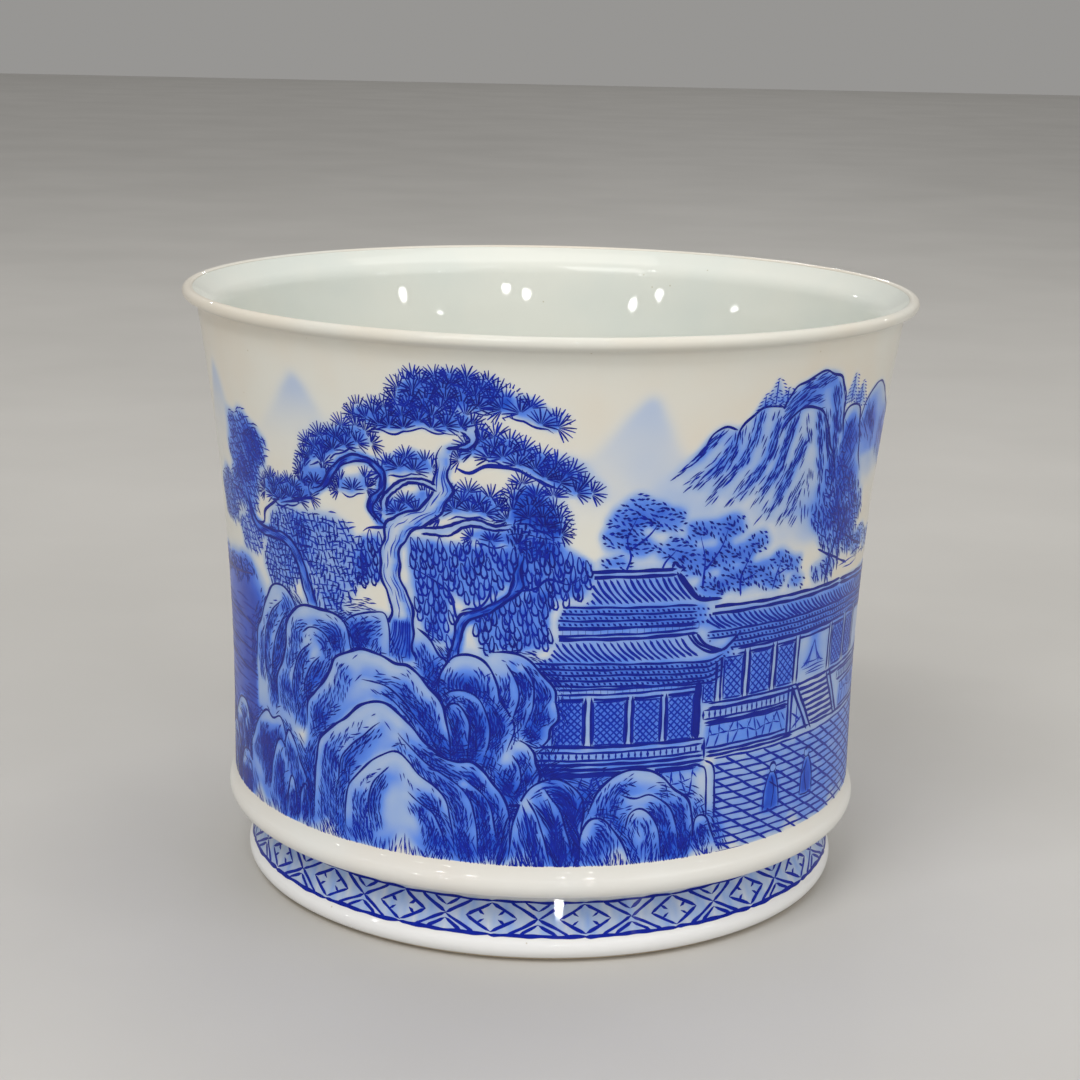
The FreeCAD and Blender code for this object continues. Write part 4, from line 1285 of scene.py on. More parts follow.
def bridge(ink, s0, s1, z, rise):
    """An arched bridge with a railing."""
    def bow(share, lift):
        return (s0 + (s1 - s0) * share, z + lift + 4 * rise * share * (1 - share))

    shares = np.linspace(0, 1, 7)
    cover([bow(t, -1.4) for t in shares] + [bow(t, 3) for t in shares[::-1]], 0.25)
    for lift, width in ((-1.4, 0.34), (0, 0.4), (0.9, 0.34), (2.6, 0.36)):
        brush(ink, [bow(t, lift) for t in shares], width)
    for t in np.linspace(0.02, 0.98, round((s1 - s0) / 1.6)):
        rule(ink, bow(t, 0.9), bow(t, 3.0), 0.34)
        rule(ink, bow(t, -1.4), bow(t + 0.02, 0), 0.24, 0.8)


def paint_back_mountains():
    ink = "ink_back_mountain"
    for s, top, left, right, foot, strength in ((100, 91, 17, 14, 70, 0.3), (117, 85, 12, 12, 66, 0.2),
                                                (172, 93, 15, 17, 70, 0.3), (187, 86, 13, 12, 66, 0.2),
                                                (212, 92, 15, 14, 70, 0.28), (236, 93, 15, 14, 72, 0.28)):
        far_peak(s, top, left, right, foot, strength)
    for s, z in ((127, 85.2), (129.6, 87.4), (148.4, 87), (151, 84.6), (119, 80.2)):
        fir(ink, s, z, 4, 3.6)
    crag(ink, [(148, 74), (151, 80), (154, 83), (157, 83.6), (160, 81.4), (164, 78), (169, 73)], 72.5)
    crag(ink, [(120, 71), (124, 76.6), (127.6, 82), (130.4, 86.8), (133, 88.4), (135.6, 92.4), (138.4, 94.6),
               (141, 93.2), (143.4, 89.6), (146.4, 87.4), (149.2, 82.4), (153, 77.6), (157, 72)], 71,
         crown=0.55,
         folds=[fold([(134, 89.6), (132.6, 85.6), (130, 81), (126.4, 76)], far=3.2, near=0.6),
                fold([(139.4, 91.4), (141, 87), (141.6, 82.4), (144.4, 76)], far=3.2),
                fold([(137, 88), (136.4, 83), (134, 77.6)], far=2.6)])
    crag(ink, [(109, 70), (112.4, 74.4), (115.4, 78.4), (118.6, 79.6), (121.6, 77.2), (125, 73), (127, 70)],
         69.5, crown=0.5)
    crag(ink, [(134, 70.4), (136.6, 75), (139.4, 79.4), (142.4, 80.8), (145.4, 78.4), (148, 74.4), (150, 70)],
         70, crease=0.7, reach=2.2)
    mist = [(104, 72), (118, 71.2), (132, 69.6), (146, 69.8), (160, 71.6), (174, 73), (174, 62), (104, 62)]
    cover(mist, 0, 1.2)
    for s in np.arange(112, 164, 3.4):
        count = 15
        base = np.column_stack([rng.normal(s, 1.3, count), 73 - np.abs(rng.normal(0, 3, count))])
        tint(base, np.full(count, 0.12), 0.6, 0.9)
        dashes(ink, base, -math.pi / 2 + 0.02 * (s - 138) + rng.normal(0, 0.06, count),
               spread(count, 1.7, 0.4), 0.22, 0.8)


def paint_lake():
    ink = "ink_lake"
    wash(box(112, 204, 22, 56), 0.16, 3)
    for s, z, width, height in ((124, 54, 28, 4.6), (150, 53.2, 34, 6.4), (180, 54, 34, 5)):
        rock(ink, [(s - width / 2, z), (s - 0.22 * width, z + 0.66 * height), (s + 0.06 * width, z + height),
                   (s + 0.28 * width, z + 0.6 * height), (s + width / 2, z)], foot=z - 0.4, far=3.4,
             crease=0.2, line=0.32, lean=0.8)
    for s in np.arange(112, 198, 4.2):
        z = 59.6 + 1.8 * math.sin(s * 0.31) + 0.8 * math.sin(s * 1.3)
        stem(ink, s, z, 3.6)
        dots(ink, blob(s, z, 5.6, 4.2, 4, 0.12, s))
    ripples(ink, 112, 204, 48, 52.6, 1.1, 0.7, 0.24)
    ripples(ink, 114, 200, 24, 47, 1.9, 0.62, 0.22)
    boat(ink, 152, 39, 10)
    boat(ink, 177, 45, 6.4)


def paint_garden():
    """The gallery's end, a garden wall with a round gate, bamboo, and rocks before them."""
    ink = "ink_garden"
    for _ in range(9):
        bamboo(ink, rng.uniform(88, 104), 44, rng.uniform(12, 20))
    cover([(83, 34), (83, 48.6), (118, 45), (118, 30)], 0.34)
    rules(ink, [((83, 48.8), (118, 45.2)), ((83, 48), (118, 44.4)), ((83, 45.6), (118, 42.2))], 0.42)
    tiles(ink, ((84, 47.8), (117, 44.5)), ((85, 45.8), (118, 42.4)), 36)
    beads(ink, (83, 44.2), (118, 40.8), 1.0)
    gate, frame_of_gate = blob(104, 36, 9, 9), blob(104, 36, 10.6, 10.6)
    cover(frame_of_gate, 0.1)
    ripples(ink, 101, 107, 33, 37, 1.1, 0.7, 0.24)
    far_peak(104, 40, 3.5, 3.5, 36.6, 0.6)
    for outline in (gate, frame_of_gate):
        hoop(ink, outline, 0.4)
    ice_wall(ink, 84, 98, 34.6, 38.4)
    ice_wall(ink, 110, 118, 31.6, 35)
    cover(box(82.4, 87, 33, 57.6), 0.3)
    rules(ink, [((82.4, 33), (82.4, 57)), ((87, 33), (87, 56.6)), ((83.6, 33), (83.6, 55)),
                ((86, 33), (86, 55))], 0.4)
    eaves(ink, [(79, 56.4), (84, 56.2), (88, 57), (90, 58.6)], 2.4, 2)
    brush(ink, [(80, 57.8), (85, 57.6), (89, 59), (90.6, 60.8)], 0.5)
    paving(ink, 82, 110, 33.4, 17.6)
    bridge(ink, 117, 137, 31, 5)
    for s, low, width, height in ((90, 20, 14, 17), (121, 18, 16, 15), (138, 19, 11, 13), (103, 17, 15, 13),
                                  (112, 17, 13, 17), (86, 17, 12, 8), (96, 17, 9, 7), (129, 17, 14, 8),
                                  (142, 17, 10, 6), (120, 17, 10, 7)):
        boulder(s, low, width, height)


def paint_island():
    """Rocks in the lake with a kiosk, a willow and a pine."""
    ink = "ink_island"
    willow(ink, 202, 31, 27)
    standing_pine(ink, 232, 42, 40, -1)
    for s, low, width, height in ((236, 28, 18, 20), (196, 18, 12, 12), (224, 30, 18, 16), (206, 22, 16, 15)):
        boulder(s, low, width, height)
    kiosk(ink, 214.6, 40.4, 15, 22)
    for s, low, width, height, twist in ((216, 20, 22, 19, 0), (200, 17, 13, 10, 0), (231, 18, 17, 20, 0.06),
                                         (209, 17, 13, 11, 0), (222, 17, 12, 9, -0.05), (239, 17, 11, 14, 0),
                                         (193, 17, 7, 5, 0), (230, 17, 9, 7, 0)):
        boulder(s, low, width, height, twist)
    for s in (147, 151, 156, 184, 188):
        count = 12
        base = np.column_stack([rng.normal(s, 1.2, count), rng.uniform(17.6, 18.6, count)])
        dashes("ink_lake", base, math.pi / 2 + rng.normal(0, 0.16, count), spread(count, 4.4, 0.4), 0.26, 0.8,
               tail=0.9)


def paint_back():
    paint_back_mountains()
    paint_lake()
    paint_garden()
    paint_island()
    paint_ground_edge(82, 146)
    paint_ground_edge(190, 243)


paint_front()
paint_back()
paint_foot_band()
foot_band_strips = inks.pop("foot_band_ink")

# The washes fade out along a wavy edge above the moulding.
density *= smooth(row_z[:, None] + 1.4 * np.sin(col_s * 0.37) + np.sin(col_s * 0.9), 15.6, 20.2)


# ---------------------------------------------------------------- Meshes and their data

UV_MARGIN = 0.01


def collect(name, points, faces):
    """A smooth mesh object from points in metres and faces, riding with the pot."""
    mesh = bpy.data.meshes.new(name)
    mesh.from_pydata(points.tolist(), [], faces.tolist())
    mesh.polygons.foreach_set("use_smooth", np.full(len(mesh.polygons), True))
    mesh.update()
    piece = bpy.data.objects.new(name, mesh)
    bpy.context.scene.collection.objects.link(piece)
    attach(piece, "root")
    return piece


def store(piece, name, values):
    """Keeps a number for each vertex, for the material to read."""
    attribute = piece.data.attributes.new(name, "FLOAT", "POINT")
    attribute.data.foreach_set("value", np.asarray(values, np.float32))


def unroll(piece, flat):
    """Gives the mesh its flat places as texture coordinates, squeezed into the unit square."""
    low, high = flat.min(0), flat.max(0)
    flat = UV_MARGIN + (1 - 2 * UV_MARGIN) * (flat - low) / (high - low).max()
    layer = piece.data.uv_layers.new(name="OFBake")
    corners = np.empty(len(piece.data.loops), np.int32)
    piece.data.loops.foreach_get("vertex_index", corners)
    layer.data.foreach_set("uv", flat[corners].astype(np.float32).ravel())


def stands_for(piece, finish, node):
    """Gives a piece its material, and hides the node that it takes the place of."""
    piece.data.materials.append(finish)
    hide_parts(node)


# ---------------------------------------------------------------- Colours and nodes


def srgb(*values):
    """An 8-bit display colour as a linear RGBA."""
    linear = (v / 255 / 12.92 if v <= 10 else ((v / 255 + 0.055) / 1.055) ** 2.4 for v in values)
    return (*linear, 1.0)


def grey(value):
    return (value, value, value, 1.0)


BLACK = grey(0.0)
WHITE = grey(1.0)
# Painted light: this white about the foot and moulding is brighter and purer than the whites above. Those
# whites drift at random, but they also stand in for shade under the flared lip and for warm reflections on
# the upper wall.
FOOT_PAINTED_LIGHT_WHITE = srgb(239, 239, 238)
WARM_WHITE = srgb(222, 215, 201)
COOL_WHITE = srgb(222, 221, 212)


def new_material(name):
    material = bpy.data.materials.new(name)
    material.use_nodes = True
    shader = material.node_tree.nodes["Principled BSDF"]
    return material, material.node_tree, shader


def add(tree, kind, **settings):
    """A new node, with its properties and the values of its sockets set by name."""
    node = tree.nodes.new(kind)
    for key, value in settings.items():
        if hasattr(node, key):
            setattr(node, key, value)
        else:
            node.inputs[key].default_value = value
    return node


def object_space(tree):
    """The shaded point's place in the object's own space, in metres."""
    return add(tree, "ShaderNodeTexCoord").outputs["Object"]


def noise(tree, scale, detail):
    """A noise value; scale is in cycles for each metre."""
    texture = add(tree, "ShaderNodeTexNoise", Scale=scale, Detail=detail)
    tree.links.new(object_space(tree), texture.inputs["Vector"])
    return texture.outputs["Fac"]


def ramp(tree, value, stops):
    """A colour for a value, through stops of (place, colour): the first, the last, then those between."""
    node = add(tree, "ShaderNodeValToRGB")
    for element, (place, colour) in zip(node.color_ramp.elements, stops):
        element.position = place
        element.color = colour
    for place, colour in stops[2:]:
        element = node.color_ramp.elements.new(place)
        element.color = colour
    tree.links.new(value, node.inputs["Fac"])
    return node.outputs["Color"]


def mixed(tree, a, b, factor, blend="MIX"):
    """Two colours mixed. Each of them, and the factor, is a constant or another node's output."""
    node = add(tree, "ShaderNodeMix", data_type="RGBA", blend_type=blend)
    for socket, value in ((node.inputs[0], factor), (node.inputs[6], a), (node.inputs[7], b)):
        if isinstance(value, (float, tuple)):
            socket.default_value = value
        else:
            tree.links.new(value, socket)
    return node.outputs[2]


def bumps(tree, shader, layers):
    """Stacks bump layers of (height value, strength, depth in mm) onto a shader, and onto its coat."""
    normal = None
    for height, strength, depth in layers:
        bump = add(tree, "ShaderNodeBump", Strength=strength, Distance=depth * MM)
        tree.links.new(height, bump.inputs["Height"])
        if normal:
            tree.links.new(normal, bump.inputs["Normal"])
        normal = bump.outputs["Normal"]
    tree.links.new(normal, shader.inputs["Normal"])
    tree.links.new(normal, shader.inputs["Coat Normal"])


def speckle(tree, scale, share, dark):
    """White with a scatter of faint specks, to multiply a colour by."""
    cells = add(tree, "ShaderNodeTexVoronoi", Scale=scale)
    tree.links.new(object_space(tree), cells.inputs["Vector"])
    return ramp(tree, cells.outputs["Distance"], [(share, dark), (share * 1.9, WHITE)])


# ---------------------------------------------------------------- Materials


def glaze_colour_with_painted_light(tree, warm, cool):
    """The glaze's body colour: two close whites in soft drifts with fine specks, made purer and brighter
    about the foot as painted light, and darker and warmer higher up as painted shade.
    """
    drift = ramp(tree, noise(tree, 42, 3), [(0.36, warm), (0.64, cool)])
    axes = add(tree, "ShaderNodeSeparateXYZ")
    tree.links.new(object_space(tree), axes.inputs["Vector"])
    # Painted light and shade by height: the brighter foot white low down, and the darker, warmer drifting
    # whites higher up.
    painted_shade_above_foot = ramp(tree, axes.outputs["Z"], [(4 * MM, BLACK), (24 * MM, WHITE)])
    drift = mixed(tree, FOOT_PAINTED_LIGHT_WHITE, drift, painted_shade_above_foot)
    specks = speckle(tree, 210, 0.022, srgb(226, 220, 206))
    return mixed(tree, drift, specks, 1.0, "MULTIPLY")


def glossy(tree, shader):
    """A fired clear glaze: a hard clear coat with a very slightly uneven surface."""
    shader.inputs["Coat Weight"].default_value = 0.45
    shader.inputs["Coat Roughness"].default_value = 0.03
    shader.inputs["Coat IOR"].default_value = 1.5
    shader.inputs["Specular IOR Level"].default_value = 0.05
    rough = ramp(tree, noise(tree, 120, 2), [(0.3, grey(0.3)), (0.7, grey(0.42))])
    tree.links.new(rough, shader.inputs["Roughness"])
    bumps(tree, shader, [(noise(tree, 55, 1), 1.0, 0.035), (noise(tree, 700, 2), 0.5, 0.0035)])


def glaze_material(name, warm=WARM_WHITE, cool=COOL_WHITE):
    material, tree, shader = new_material(name)
    tree.links.new(glaze_colour_with_painted_light(tree, warm, cool), shader.inputs["Base Color"])
    glossy(tree, shader)
    return material


def wash_material():
    """Thinned cobalt under the glaze. Where its depth is nothing, it is the bare glaze's colour, painted
    light and shade included.
    """
    material, tree, shader = new_material("cobalt_wash")
    depth = add(tree, "ShaderNodeAttribute", attribute_name="wash_depth").outputs["Fac"]
    cobalt = ramp(tree, depth, [
        (0.0, srgb(220, 222, 220)), (1.0, srgb(0, 48, 172)), (0.12, srgb(203, 210, 218)),
        (0.32, srgb(156, 181, 224)), (0.5, srgb(96, 142, 236)), (0.75, srgb(36, 90, 214)),
    ])
    laid = ramp(tree, depth, [(0.0, BLACK), (0.2, WHITE)])
    colour = mixed(tree, glaze_colour_with_painted_light(tree, WARM_WHITE, COOL_WHITE), cobalt, laid)
    tree.links.new(colour, shader.inputs["Base Color"])
    glossy(tree, shader)
    return material


def ink_material():
    """Cobalt line under the glaze, deeper where the brush left more, with a fine break-up."""
    material, tree, shader = new_material("cobalt_ink")
    tone = add(tree, "ShaderNodeAttribute", attribute_name="tone").outputs["Fac"]
    colour = ramp(tree, tone, [
        (0.2, srgb(120, 160, 244)), (1.0, srgb(0, 18, 128)),
        (0.5, srgb(38, 92, 222)), (0.8, srgb(0, 38, 172)),
    ])
    uneven = ramp(tree, noise(tree, 900, 3), [(0.35, WHITE), (0.7, srgb(206, 214, 240))])
    tree.links.new(mixed(tree, colour, uneven, 1.0, "MULTIPLY"), shader.inputs["Base Color"])
    glossy(tree, shader)
    return material


def clay_material(name, colour, dark):
    """Fired porcelain clay without glaze: matt and faintly sandy."""
    material, tree, shader = new_material(name)
    drift = ramp(tree, noise(tree, 60, 4), [(0.3, colour), (0.7, dark)])
    grit = speckle(tree, 900, 0.09, srgb(176, 160, 136))
    tree.links.new(mixed(tree, drift, grit, 1.0, "MULTIPLY"), shader.inputs["Base Color"])
    rough = ramp(tree, noise(tree, 300, 2), [(0.3, grey(0.6)), (0.7, grey(0.85))])
    tree.links.new(rough, shader.inputs["Roughness"])
    bumps(tree, shader, [(noise(tree, 2200, 3), 0.7, 0.02)])
    return material


def floor_material():
    material, tree, shader = new_material("pale_floor")
    colour = ramp(tree, noise(tree, 9, 4), [(0.3, srgb(196, 194, 190)), (0.7, srgb(204, 202, 198))])
    tree.links.new(colour, shader.inputs["Base Color"])
    shader.inputs["Roughness"].default_value = 0.6
    return material


exterior = glaze_material("exterior_glaze")
interior = glaze_material("interior_glaze", srgb(225, 227, 219), srgb(218, 223, 217))
cobalt_wash = wash_material()
cobalt_ink = ink_material()
clay = clay_material("fired_clay", srgb(226, 219, 205), srgb(214, 205, 188))
bare_ring = clay_material("bare_ring_clay", srgb(219, 207, 186), srgb(202, 184, 156))

for node, finish in (("body_wall", clay), ("floor_disc", clay), ("foot_ring", bare_ring),
                     ("wall_joint_slip", clay), ("foot_joint_slip", clay)):
    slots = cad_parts[node].data.materials
    slots.clear()
    slots.append(finish)


# ---------------------------------------------------------------- Glazed skins

AROUND = 480                             # steps round a turned skin
LIP_CENTRE = (LIP_R - LIP_ROUND, TOTAL_H - LIP_ROUND)
LIP_START, LIP_SPLIT, LIP_END = -55, 140, 148   # degrees: its outer end, where the glazes meet, its inner end
FLAT_STEPS = (30, 12, 0)                 # radii of the points on a flat floor


def on_circle(centre, radius, degrees):
    angle = math.radians(degrees)
    return (centre[0] + radius * math.cos(angle), centre[1] + radius * math.sin(angle))


def arc(centre, radius, start, end, steps):
    """Points on an arc of the half section, from start to end degrees."""
    return [on_circle(centre, radius, degrees) for degrees in np.linspace(start, end, steps)]


def rounded(before, corner, after, radius, steps=8):
    """Points that round the corner between two straight lines."""
    before, corner, after = (np.asarray(p, float) for p in (before, corner, after))
    back, ahead = ((p - corner) / np.linalg.norm(p - corner) for p in (before, after))
    half = math.acos(float(np.clip(back @ ahead, -1, 1))) / 2
    middle = (back + ahead) / np.linalg.norm(back + ahead)
    centre = corner + middle * radius / math.sin(half)
    start = corner + back * radius / math.tan(half) - centre
    end = corner + ahead * radius / math.tan(half) - centre
    share = np.linspace(0, 1, steps)[:, None]
    fan = start * (1 - share) + end * share
    return [tuple(centre + v * radius / np.linalg.norm(v)) for v in fan]


def wall_line(z0, z1, steps, depth=0.0):
    z = np.linspace(z0, z1, steps)
    return list(zip(wall_r(z, depth), z))


def level_line(z):
    """Points in to the axis along a flat floor or ceiling."""
    return [(r, z) for r in FLAT_STEPS]


def outer_line():
    """The outer glaze's surface, from the neck to the lip."""
    top = (float(wall_r(OUTER_FLARE_END_Z)), OUTER_FLARE_END_Z)
    lip = on_circle(LIP_CENTRE, LIP_ROUND, LIP_START)
    return (
        [(NECK_R, NECK_Z)] + arc(MOULDING, MOULDING_ROUND, -84, ROUNDS_END, 16) + [(WALL_R, MOULDING_TOP_Z)]
        + wall_line(MOULDING_TOP_Z + 0.8, OUTER_FLARE_END_Z, 60)
        + rounded(top, (top[0] + 0.2, top[1] + 0.85), lip, LIP_OUTER_FILLET)
        + arc(LIP_CENTRE, LIP_ROUND, LIP_START, LIP_SPLIT, 18)
    )


def inner_line():
    """The inner glaze's surface, from the lip to the middle of the floor."""
    top = (float(wall_r(INNER_FLARE_END_Z, WALL_THICKNESS)), INNER_FLARE_END_Z)
    lip = on_circle(LIP_CENTRE, LIP_ROUND, LIP_END)
    corner = (WALL_R - WALL_THICKNESS - FLOOR_FILLET, FLOOR_Z + FLOOR_FILLET)
    return (
        arc(LIP_CENTRE, LIP_ROUND, LIP_SPLIT, LIP_END, 3)
        + rounded(lip, (top[0] + 0.35, top[1] + 2.2), top, LIP_INNER_FILLET)
        + wall_line(INNER_FLARE_END_Z - 1.4, FLARE_START_Z, 40, WALL_THICKNESS)
        + arc(corner, FLOOR_FILLET, 0, -90, 14) + level_line(FLOOR_Z)
    )


def foot_line():
    """The foot's outer glaze, from the bare ring to the neck."""
    return arc(FOOT_RIM, FOOT_RIM_ROUND, -58.2, ROUNDS_END, 16) + [(NECK_R, NECK_Z)]


def underside_line():
    """The glaze of the hollow under the pot."""
    low, corner, middle = (RECESS_LOW_R, STAND_BARE_Z), (RECESS_TOP_R, RECESS_TOP_Z), (0, RECESS_TOP_Z)
    return [low] + rounded(low, corner, middle, RECESS_FILLET) + level_line(RECESS_TOP_Z)


def tidy_ends(piece):
    """Merges the points that meet on the axis, and turns every face outwards."""
    shape = bmesh.new()
    shape.from_mesh(piece.data)
    bmesh.ops.remove_doubles(shape, verts=shape.verts, dist=1e-7)
    bmesh.ops.recalc_face_normals(shape, faces=shape.faces)
    shape.to_mesh(piece.data)
    shape.free()


def skin(name, line, node, finish, inward):
    """A thin turned coat of glaze between the line given and a second one on its clay side.

    The clay is on the left of the way along the line where inward is 1, and on its right where it is -1.
    """
    face = np.array(line)
    clay_side = face + sideways(face) * inward * GLAZE
    clay_side[:, 0] = np.maximum(clay_side[:, 0], 0)
    loop = np.vstack([face, clay_side[::-1]])
    angle = np.arange(AROUND) * 2 * math.pi / AROUND
    r, z = loop.T
    points = np.stack([np.outer(np.sin(angle), r), -np.outer(np.cos(angle), r), np.tile(z, (AROUND, 1))], -1)
    n = len(loop)
    i, j = np.meshgrid(np.arange(AROUND), np.arange(n), indexing="ij")
    here, onwards = i * n, (i + 1) % AROUND * n
    following = (j + 1) % n
    faces = np.stack([here + j, onwards + j, onwards + following, here + following], -1).reshape(-1, 4)
    piece = collect(name, points.reshape(-1, 3) * MM, faces)
    tidy_ends(piece)
    stands_for(piece, finish, node)


skin("outer_glaze_skin", outer_line(), "outer_glaze", exterior, 1)
skin("inner_glaze_skin", inner_line(), "inner_glaze", interior, 1)
skin("foot_glaze_skin", foot_line(), "foot_glaze", exterior, 1)
skin("underside_glaze_skin", underside_line(), "underside_glaze", exterior, -1)


# ---------------------------------------------------------------- The painting on the pot

WASH_LIFT = 0.016                        # the wash lies this far off the glaze's surface
INK_LIFT = 0.034
STROKE_LEVELS = 24                       # crossing strokes lie at slightly different heights
LEVEL_STEP = 0.0009
BLEED = 0.26                             # how much of the ink's colour spreads about its lines
SECTORS = 8                              # films that the landscape's wash is laid in
WASH_MARGIN = 1.2                        # how far the landscape's wash runs past the painting's edges
BAND_MARGIN = 0.7                        # and the band's past its own
BAND_STEPS = 360
BAND_ROWS = 15
FOOT_TOP = (NECK_R, NECK_Z)              # the painted cone of the foot runs from the neck
FOOT_LOW = on_circle(FOOT_RIM, FOOT_RIM_ROUND, ROUNDS_END)   # down to where the foot's rim begins


def turned(s, z, r):
    """Points in metres at radius r and height z, with s measured round the pot."""
    angle = s / UNROLL_R
    return np.stack([r * np.sin(angle), -r * np.cos(angle), z + 0 * r], -1) * MM


def on_wall(s, z, lift):
    """Points that lie off the painted wall by lift millimetres."""
    return turned(s, z, wall_r(z) + lift)


def on_foot(s, z, lift):
    """Points that lie off the foot's painted cone by lift millimetres."""
    slope = (FOOT_TOP[0] - FOOT_LOW[0]) / (FOOT_TOP[1] - FOOT_LOW[1])
    return turned(s, z, FOOT_LOW[0] + slope * (z - FOOT_LOW[1]) + lift * math.hypot(1, slope))


def ink_mesh(name, strips, place, node):
    """One mesh of a group's strokes: flat ribbons, each at its own level, without the covered sections."""
    lifts, quads = [], []
    base = 0
    level = 0
    for strip in strips:
        ends = np.concatenate([[0], np.cumsum(~strip.joined)[:-1]]) + level
        level = int(ends[-1]) + 1
        lifts.append(np.repeat(INK_LIFT + ends % STROKE_LEVELS * LEVEL_STEP, 2))
        first = 2 * np.flatnonzero(strip.joined) + base
        quads.append(np.column_stack([first, first + 1, first + 3, first + 2]))
        base += 2 * len(strip.edges)
    faces = np.concatenate(quads)
    used = np.unique(faces)
    renumber = np.zeros(base, int)
    renumber[used] = np.arange(len(used))
    flat = np.concatenate([strip.edges.reshape(-1, 2) for strip in strips])[used]
    tone = np.concatenate([np.repeat(strip.tones, 2) for strip in strips])[used]
    lift = np.concatenate(lifts)[used]
    piece = collect(name, place(*flat.T, lift), renumber[faces])
    store(piece, "tone", tone)
    unroll(piece, flat)
    stands_for(piece, cobalt_ink, node)


def bled():
    """The wash map with a little of the ink spread into it, as cobalt spreads under a glaze."""
    inked = np.zeros_like(density)
    for strips in inks.values():
        for strip in strips:
            kept = (strip.joined & (strip.tones > 0))[:-1]
            a, b = strip.edges[:-1][kept], strip.edges[1:][kept]
            middle = (a.sum(1) + b.sum(1)) / 4
            area = np.linalg.norm(a[:, 0] - a[:, 1], axis=1) * np.linalg.norm(b.mean(1) - a.mean(1), axis=1)
            round_s = (middle[:, 0] + HALF_TURN) % (2 * HALF_TURN) - HALF_TURN
            amount, _, _ = np.histogram2d(middle[:, 1], round_s, bins=(WASH_ROWS, WASH_COLS),
                                          range=(WASH_Z, (-HALF_TURN, HALF_TURN)), weights=area)
            inked += amount / WASH_CELL**2
    return 1 - (1 - density) * (1 - np.clip(BLEED * soften(inked, 1), 0, 0.6))


def film(name, s, z, depth, place, node):
    """A fine sheet of wash over a grid of places, with its depth of colour at each of them."""
    rows, cols = s.shape
    i, j = np.meshgrid(np.arange(rows - 1), np.arange(cols - 1), indexing="ij")
    corner = (i * cols + j).ravel()
    faces = np.column_stack([corner, corner + 1, corner + cols + 1, corner + cols])
    piece = collect(name, place(s.ravel(), z.ravel(), WASH_LIFT), faces)
    store(piece, "wash_depth", depth.ravel())
    unroll(piece, np.column_stack([s.ravel(), z.ravel()]))
    stands_for(piece, cobalt_wash, node)


def landscape_film(sector, painted):
    """One sector of the landscape's wash."""
    cols = np.arange(sector * WASH_COLS // SECTORS, (sector + 1) * WASH_COLS // SECTORS + 1)
    rows = np.flatnonzero((row_z > PAINTING_Z[0] - WASH_MARGIN) & (row_z < PAINTING_Z[1] + WASH_MARGIN))
    s, z = np.meshgrid(col_s[0] + cols * (col_s[1] - col_s[0]), row_z[rows])
    film(f"landscape_wash_{sector + 1}", s, z, painted[np.ix_(rows, cols % WASH_COLS)], on_wall,
         "landscape_painting")


def band_film():
    """A thin wash behind the foot's fret, that runs a little past its lines."""
    low, high = BAND_Z
    around = np.arange(BAND_STEPS + 1) / BAND_STEPS * 2 * HALF_TURN - HALF_TURN
    s, z = np.meshgrid(around, np.linspace(low - BAND_MARGIN, high + BAND_MARGIN, BAND_ROWS))
    depth = smooth(z, low - 0.6, low + 0.3) * smooth(-z, -high - 0.6, -high)
    depth *= 0.27 + 0.05 * np.sin(s * 0.9) + 0.05 * np.sin(s * 2.3 + z)
    film("foot_band_wash", s, z, depth, on_foot, "foot_band_painting")


whole_wash = bled()
for number in range(SECTORS):
    landscape_film(number, whole_wash)
for group, group_strips in inks.items():
    ink_mesh(group, group_strips, on_wall, "landscape_painting")
band_film()
ink_mesh("foot_band_ink", foot_band_strips, on_foot, "foot_band_painting")


# ---------------------------------------------------------------- Floor, light and camera

FLOOR_REACH = 4.0                        # metres from the pot to the floor's edges
LAMPS_AWAY = 4.0                         # metres from the pot's axis to each ceiling lamp

# The lamps that the gloss mirrors as points of light: (degrees round from the front, degrees up, watts).
CEILING_LAMPS = (
    (58, 8.7, 2), (43, 7.7, 2), (17, 10.7, 2), (9, 10.3, 2), (-32, 9.3, 2), (-42, 9.8, 2), (-55, 6.4, 2),
    (-74, 7, 2), (-36, 25, 5), (-24, 27, 5), (8, 24, 5), (18, 26, 5), (44, 25, 2), (70, 27, 2), (-66, 26, 2),
    (-10, 50, 5), (30, 52, 5), (-48, 51, 12), (130, 20, 2), (-150, 24, 2), (175, 18, 2),
)
HIGH_LAMPS_ABOVE = 40                    # degrees; the lamps above this are larger
LOW_LAMP = (0.24, 0.07)                  # width and height of a lamp, in metres
HIGH_LAMP = (0.5, 0.35)


def stage_light(name, where, size, watts, colour=(1, 1, 1)):
    """A square light at a place in metres, that faces the middle of the pot."""
    lamp = bpy.data.lights.new(name, "AREA")
    lamp.size = size
    lamp.energy = watts
    lamp.color = colour
    holder = bpy.data.objects.new(name, lamp)
    holder.location = where
    aim = Vector((0, 0, TOTAL_H / 2 * MM)) - Vector(where)
    holder.rotation_euler = aim.to_track_quat("-Z", "Y").to_euler()
    bpy.context.scene.collection.objects.link(holder)
    return lamp


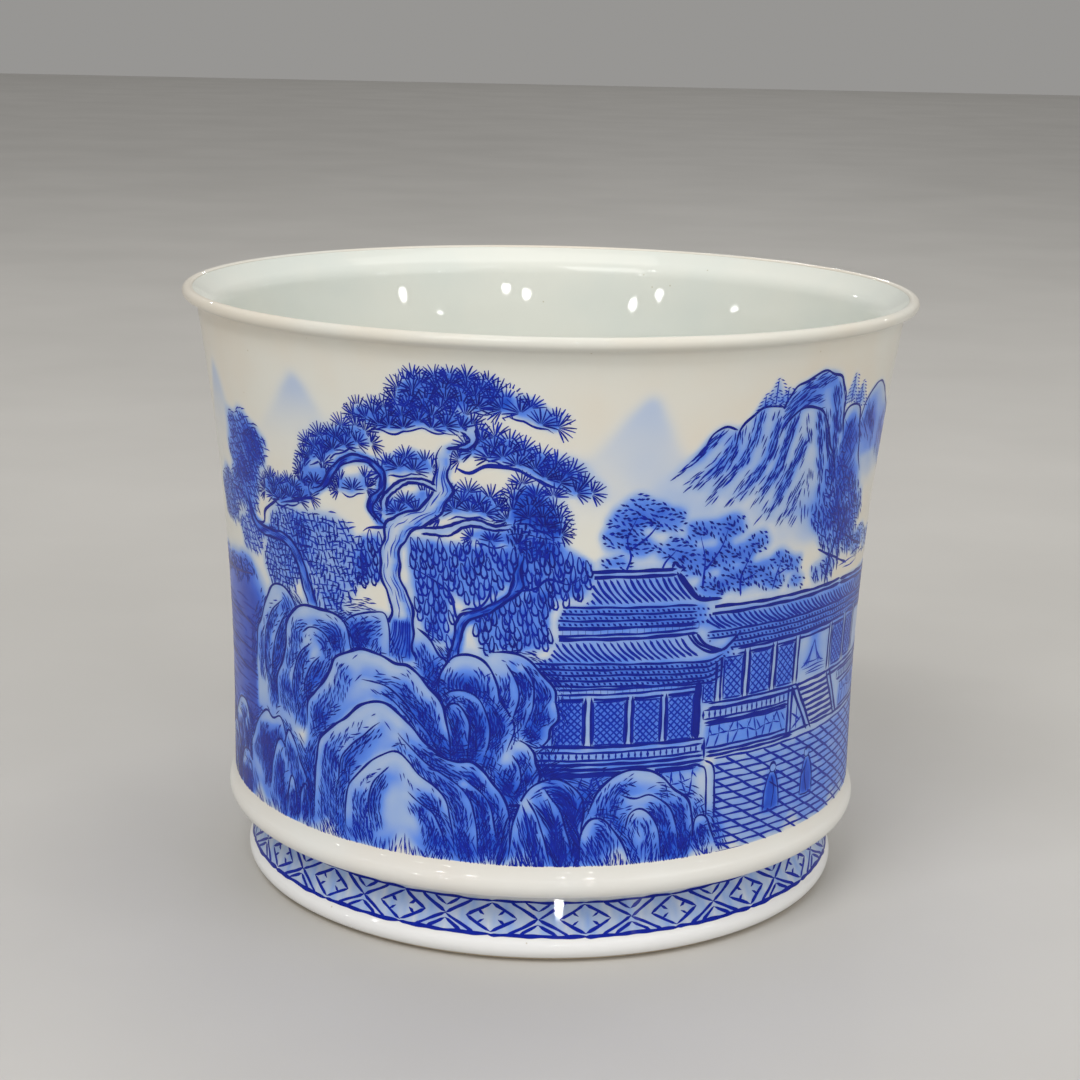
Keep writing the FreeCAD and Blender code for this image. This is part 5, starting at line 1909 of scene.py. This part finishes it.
def ceiling_lamp(number, turn, rise, watts):
    """A small oval lamp, far off."""
    size = HIGH_LAMP if rise > HIGH_LAMPS_ABOVE else LOW_LAMP
    turn, rise = math.radians(turn), math.radians(rise)
    where = (LAMPS_AWAY * math.sin(turn), -LAMPS_AWAY * math.cos(turn), LAMPS_AWAY * math.tan(rise))
    lamp = stage_light(f"ceiling_lamp_{number}", where, size[0], watts)
    lamp.shape = "ELLIPSE"
    lamp.size_y = size[1]


floor_mesh = bpy.data.meshes.new("floor")
floor_corners = [(-FLOOR_REACH, -FLOOR_REACH, 0), (FLOOR_REACH, -FLOOR_REACH, 0),
                 (FLOOR_REACH, FLOOR_REACH, 0), (-FLOOR_REACH, FLOOR_REACH, 0)]
floor_mesh.from_pydata(floor_corners, [], [(0, 1, 2, 3)])
floor_mesh.materials.append(floor_material())
floor = bpy.data.objects.new("floor", floor_mesh)
bpy.context.scene.collection.objects.link(floor)

world = bpy.data.worlds.new("studio")
world.use_nodes = True
world.node_tree.nodes["Background"].inputs["Color"].default_value = (1.0, 0.98, 0.95, 1)
world.node_tree.nodes["Background"].inputs["Strength"].default_value = 0.31
bpy.context.scene.world = world
bpy.context.scene.view_settings.view_transform = "Standard"

stage_light("key_light", (-0.4, -0.85, 1.15), 0.6, 7.3, (1, 0.99, 0.97))
stage_light("fill_light", (0.8, -0.6, 0.8), 0.8, 3.4, (1, 0.98, 0.95))
stage_light("top_light", (0.1, 0.3, 1.3), 0.8, 4.2, (1, 0.98, 0.94))
for number, lamp in enumerate(CEILING_LAMPS, 1):
    ceiling_lamp(number, *lamp)

CAMERA_PLACE = (-0.98, -370.6, 148.1)
CAMERA_DOWN = 13.836                     # degrees that it looks down
CAMERA_ROLL = 1.179                      # degrees
camera_data = bpy.data.cameras.new("camera")
camera_data.lens = 72.08
camera_data.sensor_width = 36
camera = bpy.data.objects.new("camera", camera_data)
camera.location = [v * MM for v in CAMERA_PLACE]
tilt = Euler((math.radians(90 - CAMERA_DOWN), 0, 0)).to_matrix()
roll = Euler((0, 0, math.radians(CAMERA_ROLL))).to_matrix()
camera.rotation_euler = (tilt @ roll).to_euler()
bpy.context.scene.collection.objects.link(camera)
bpy.context.scene.camera = camera

bpy.context.view_layer.update()
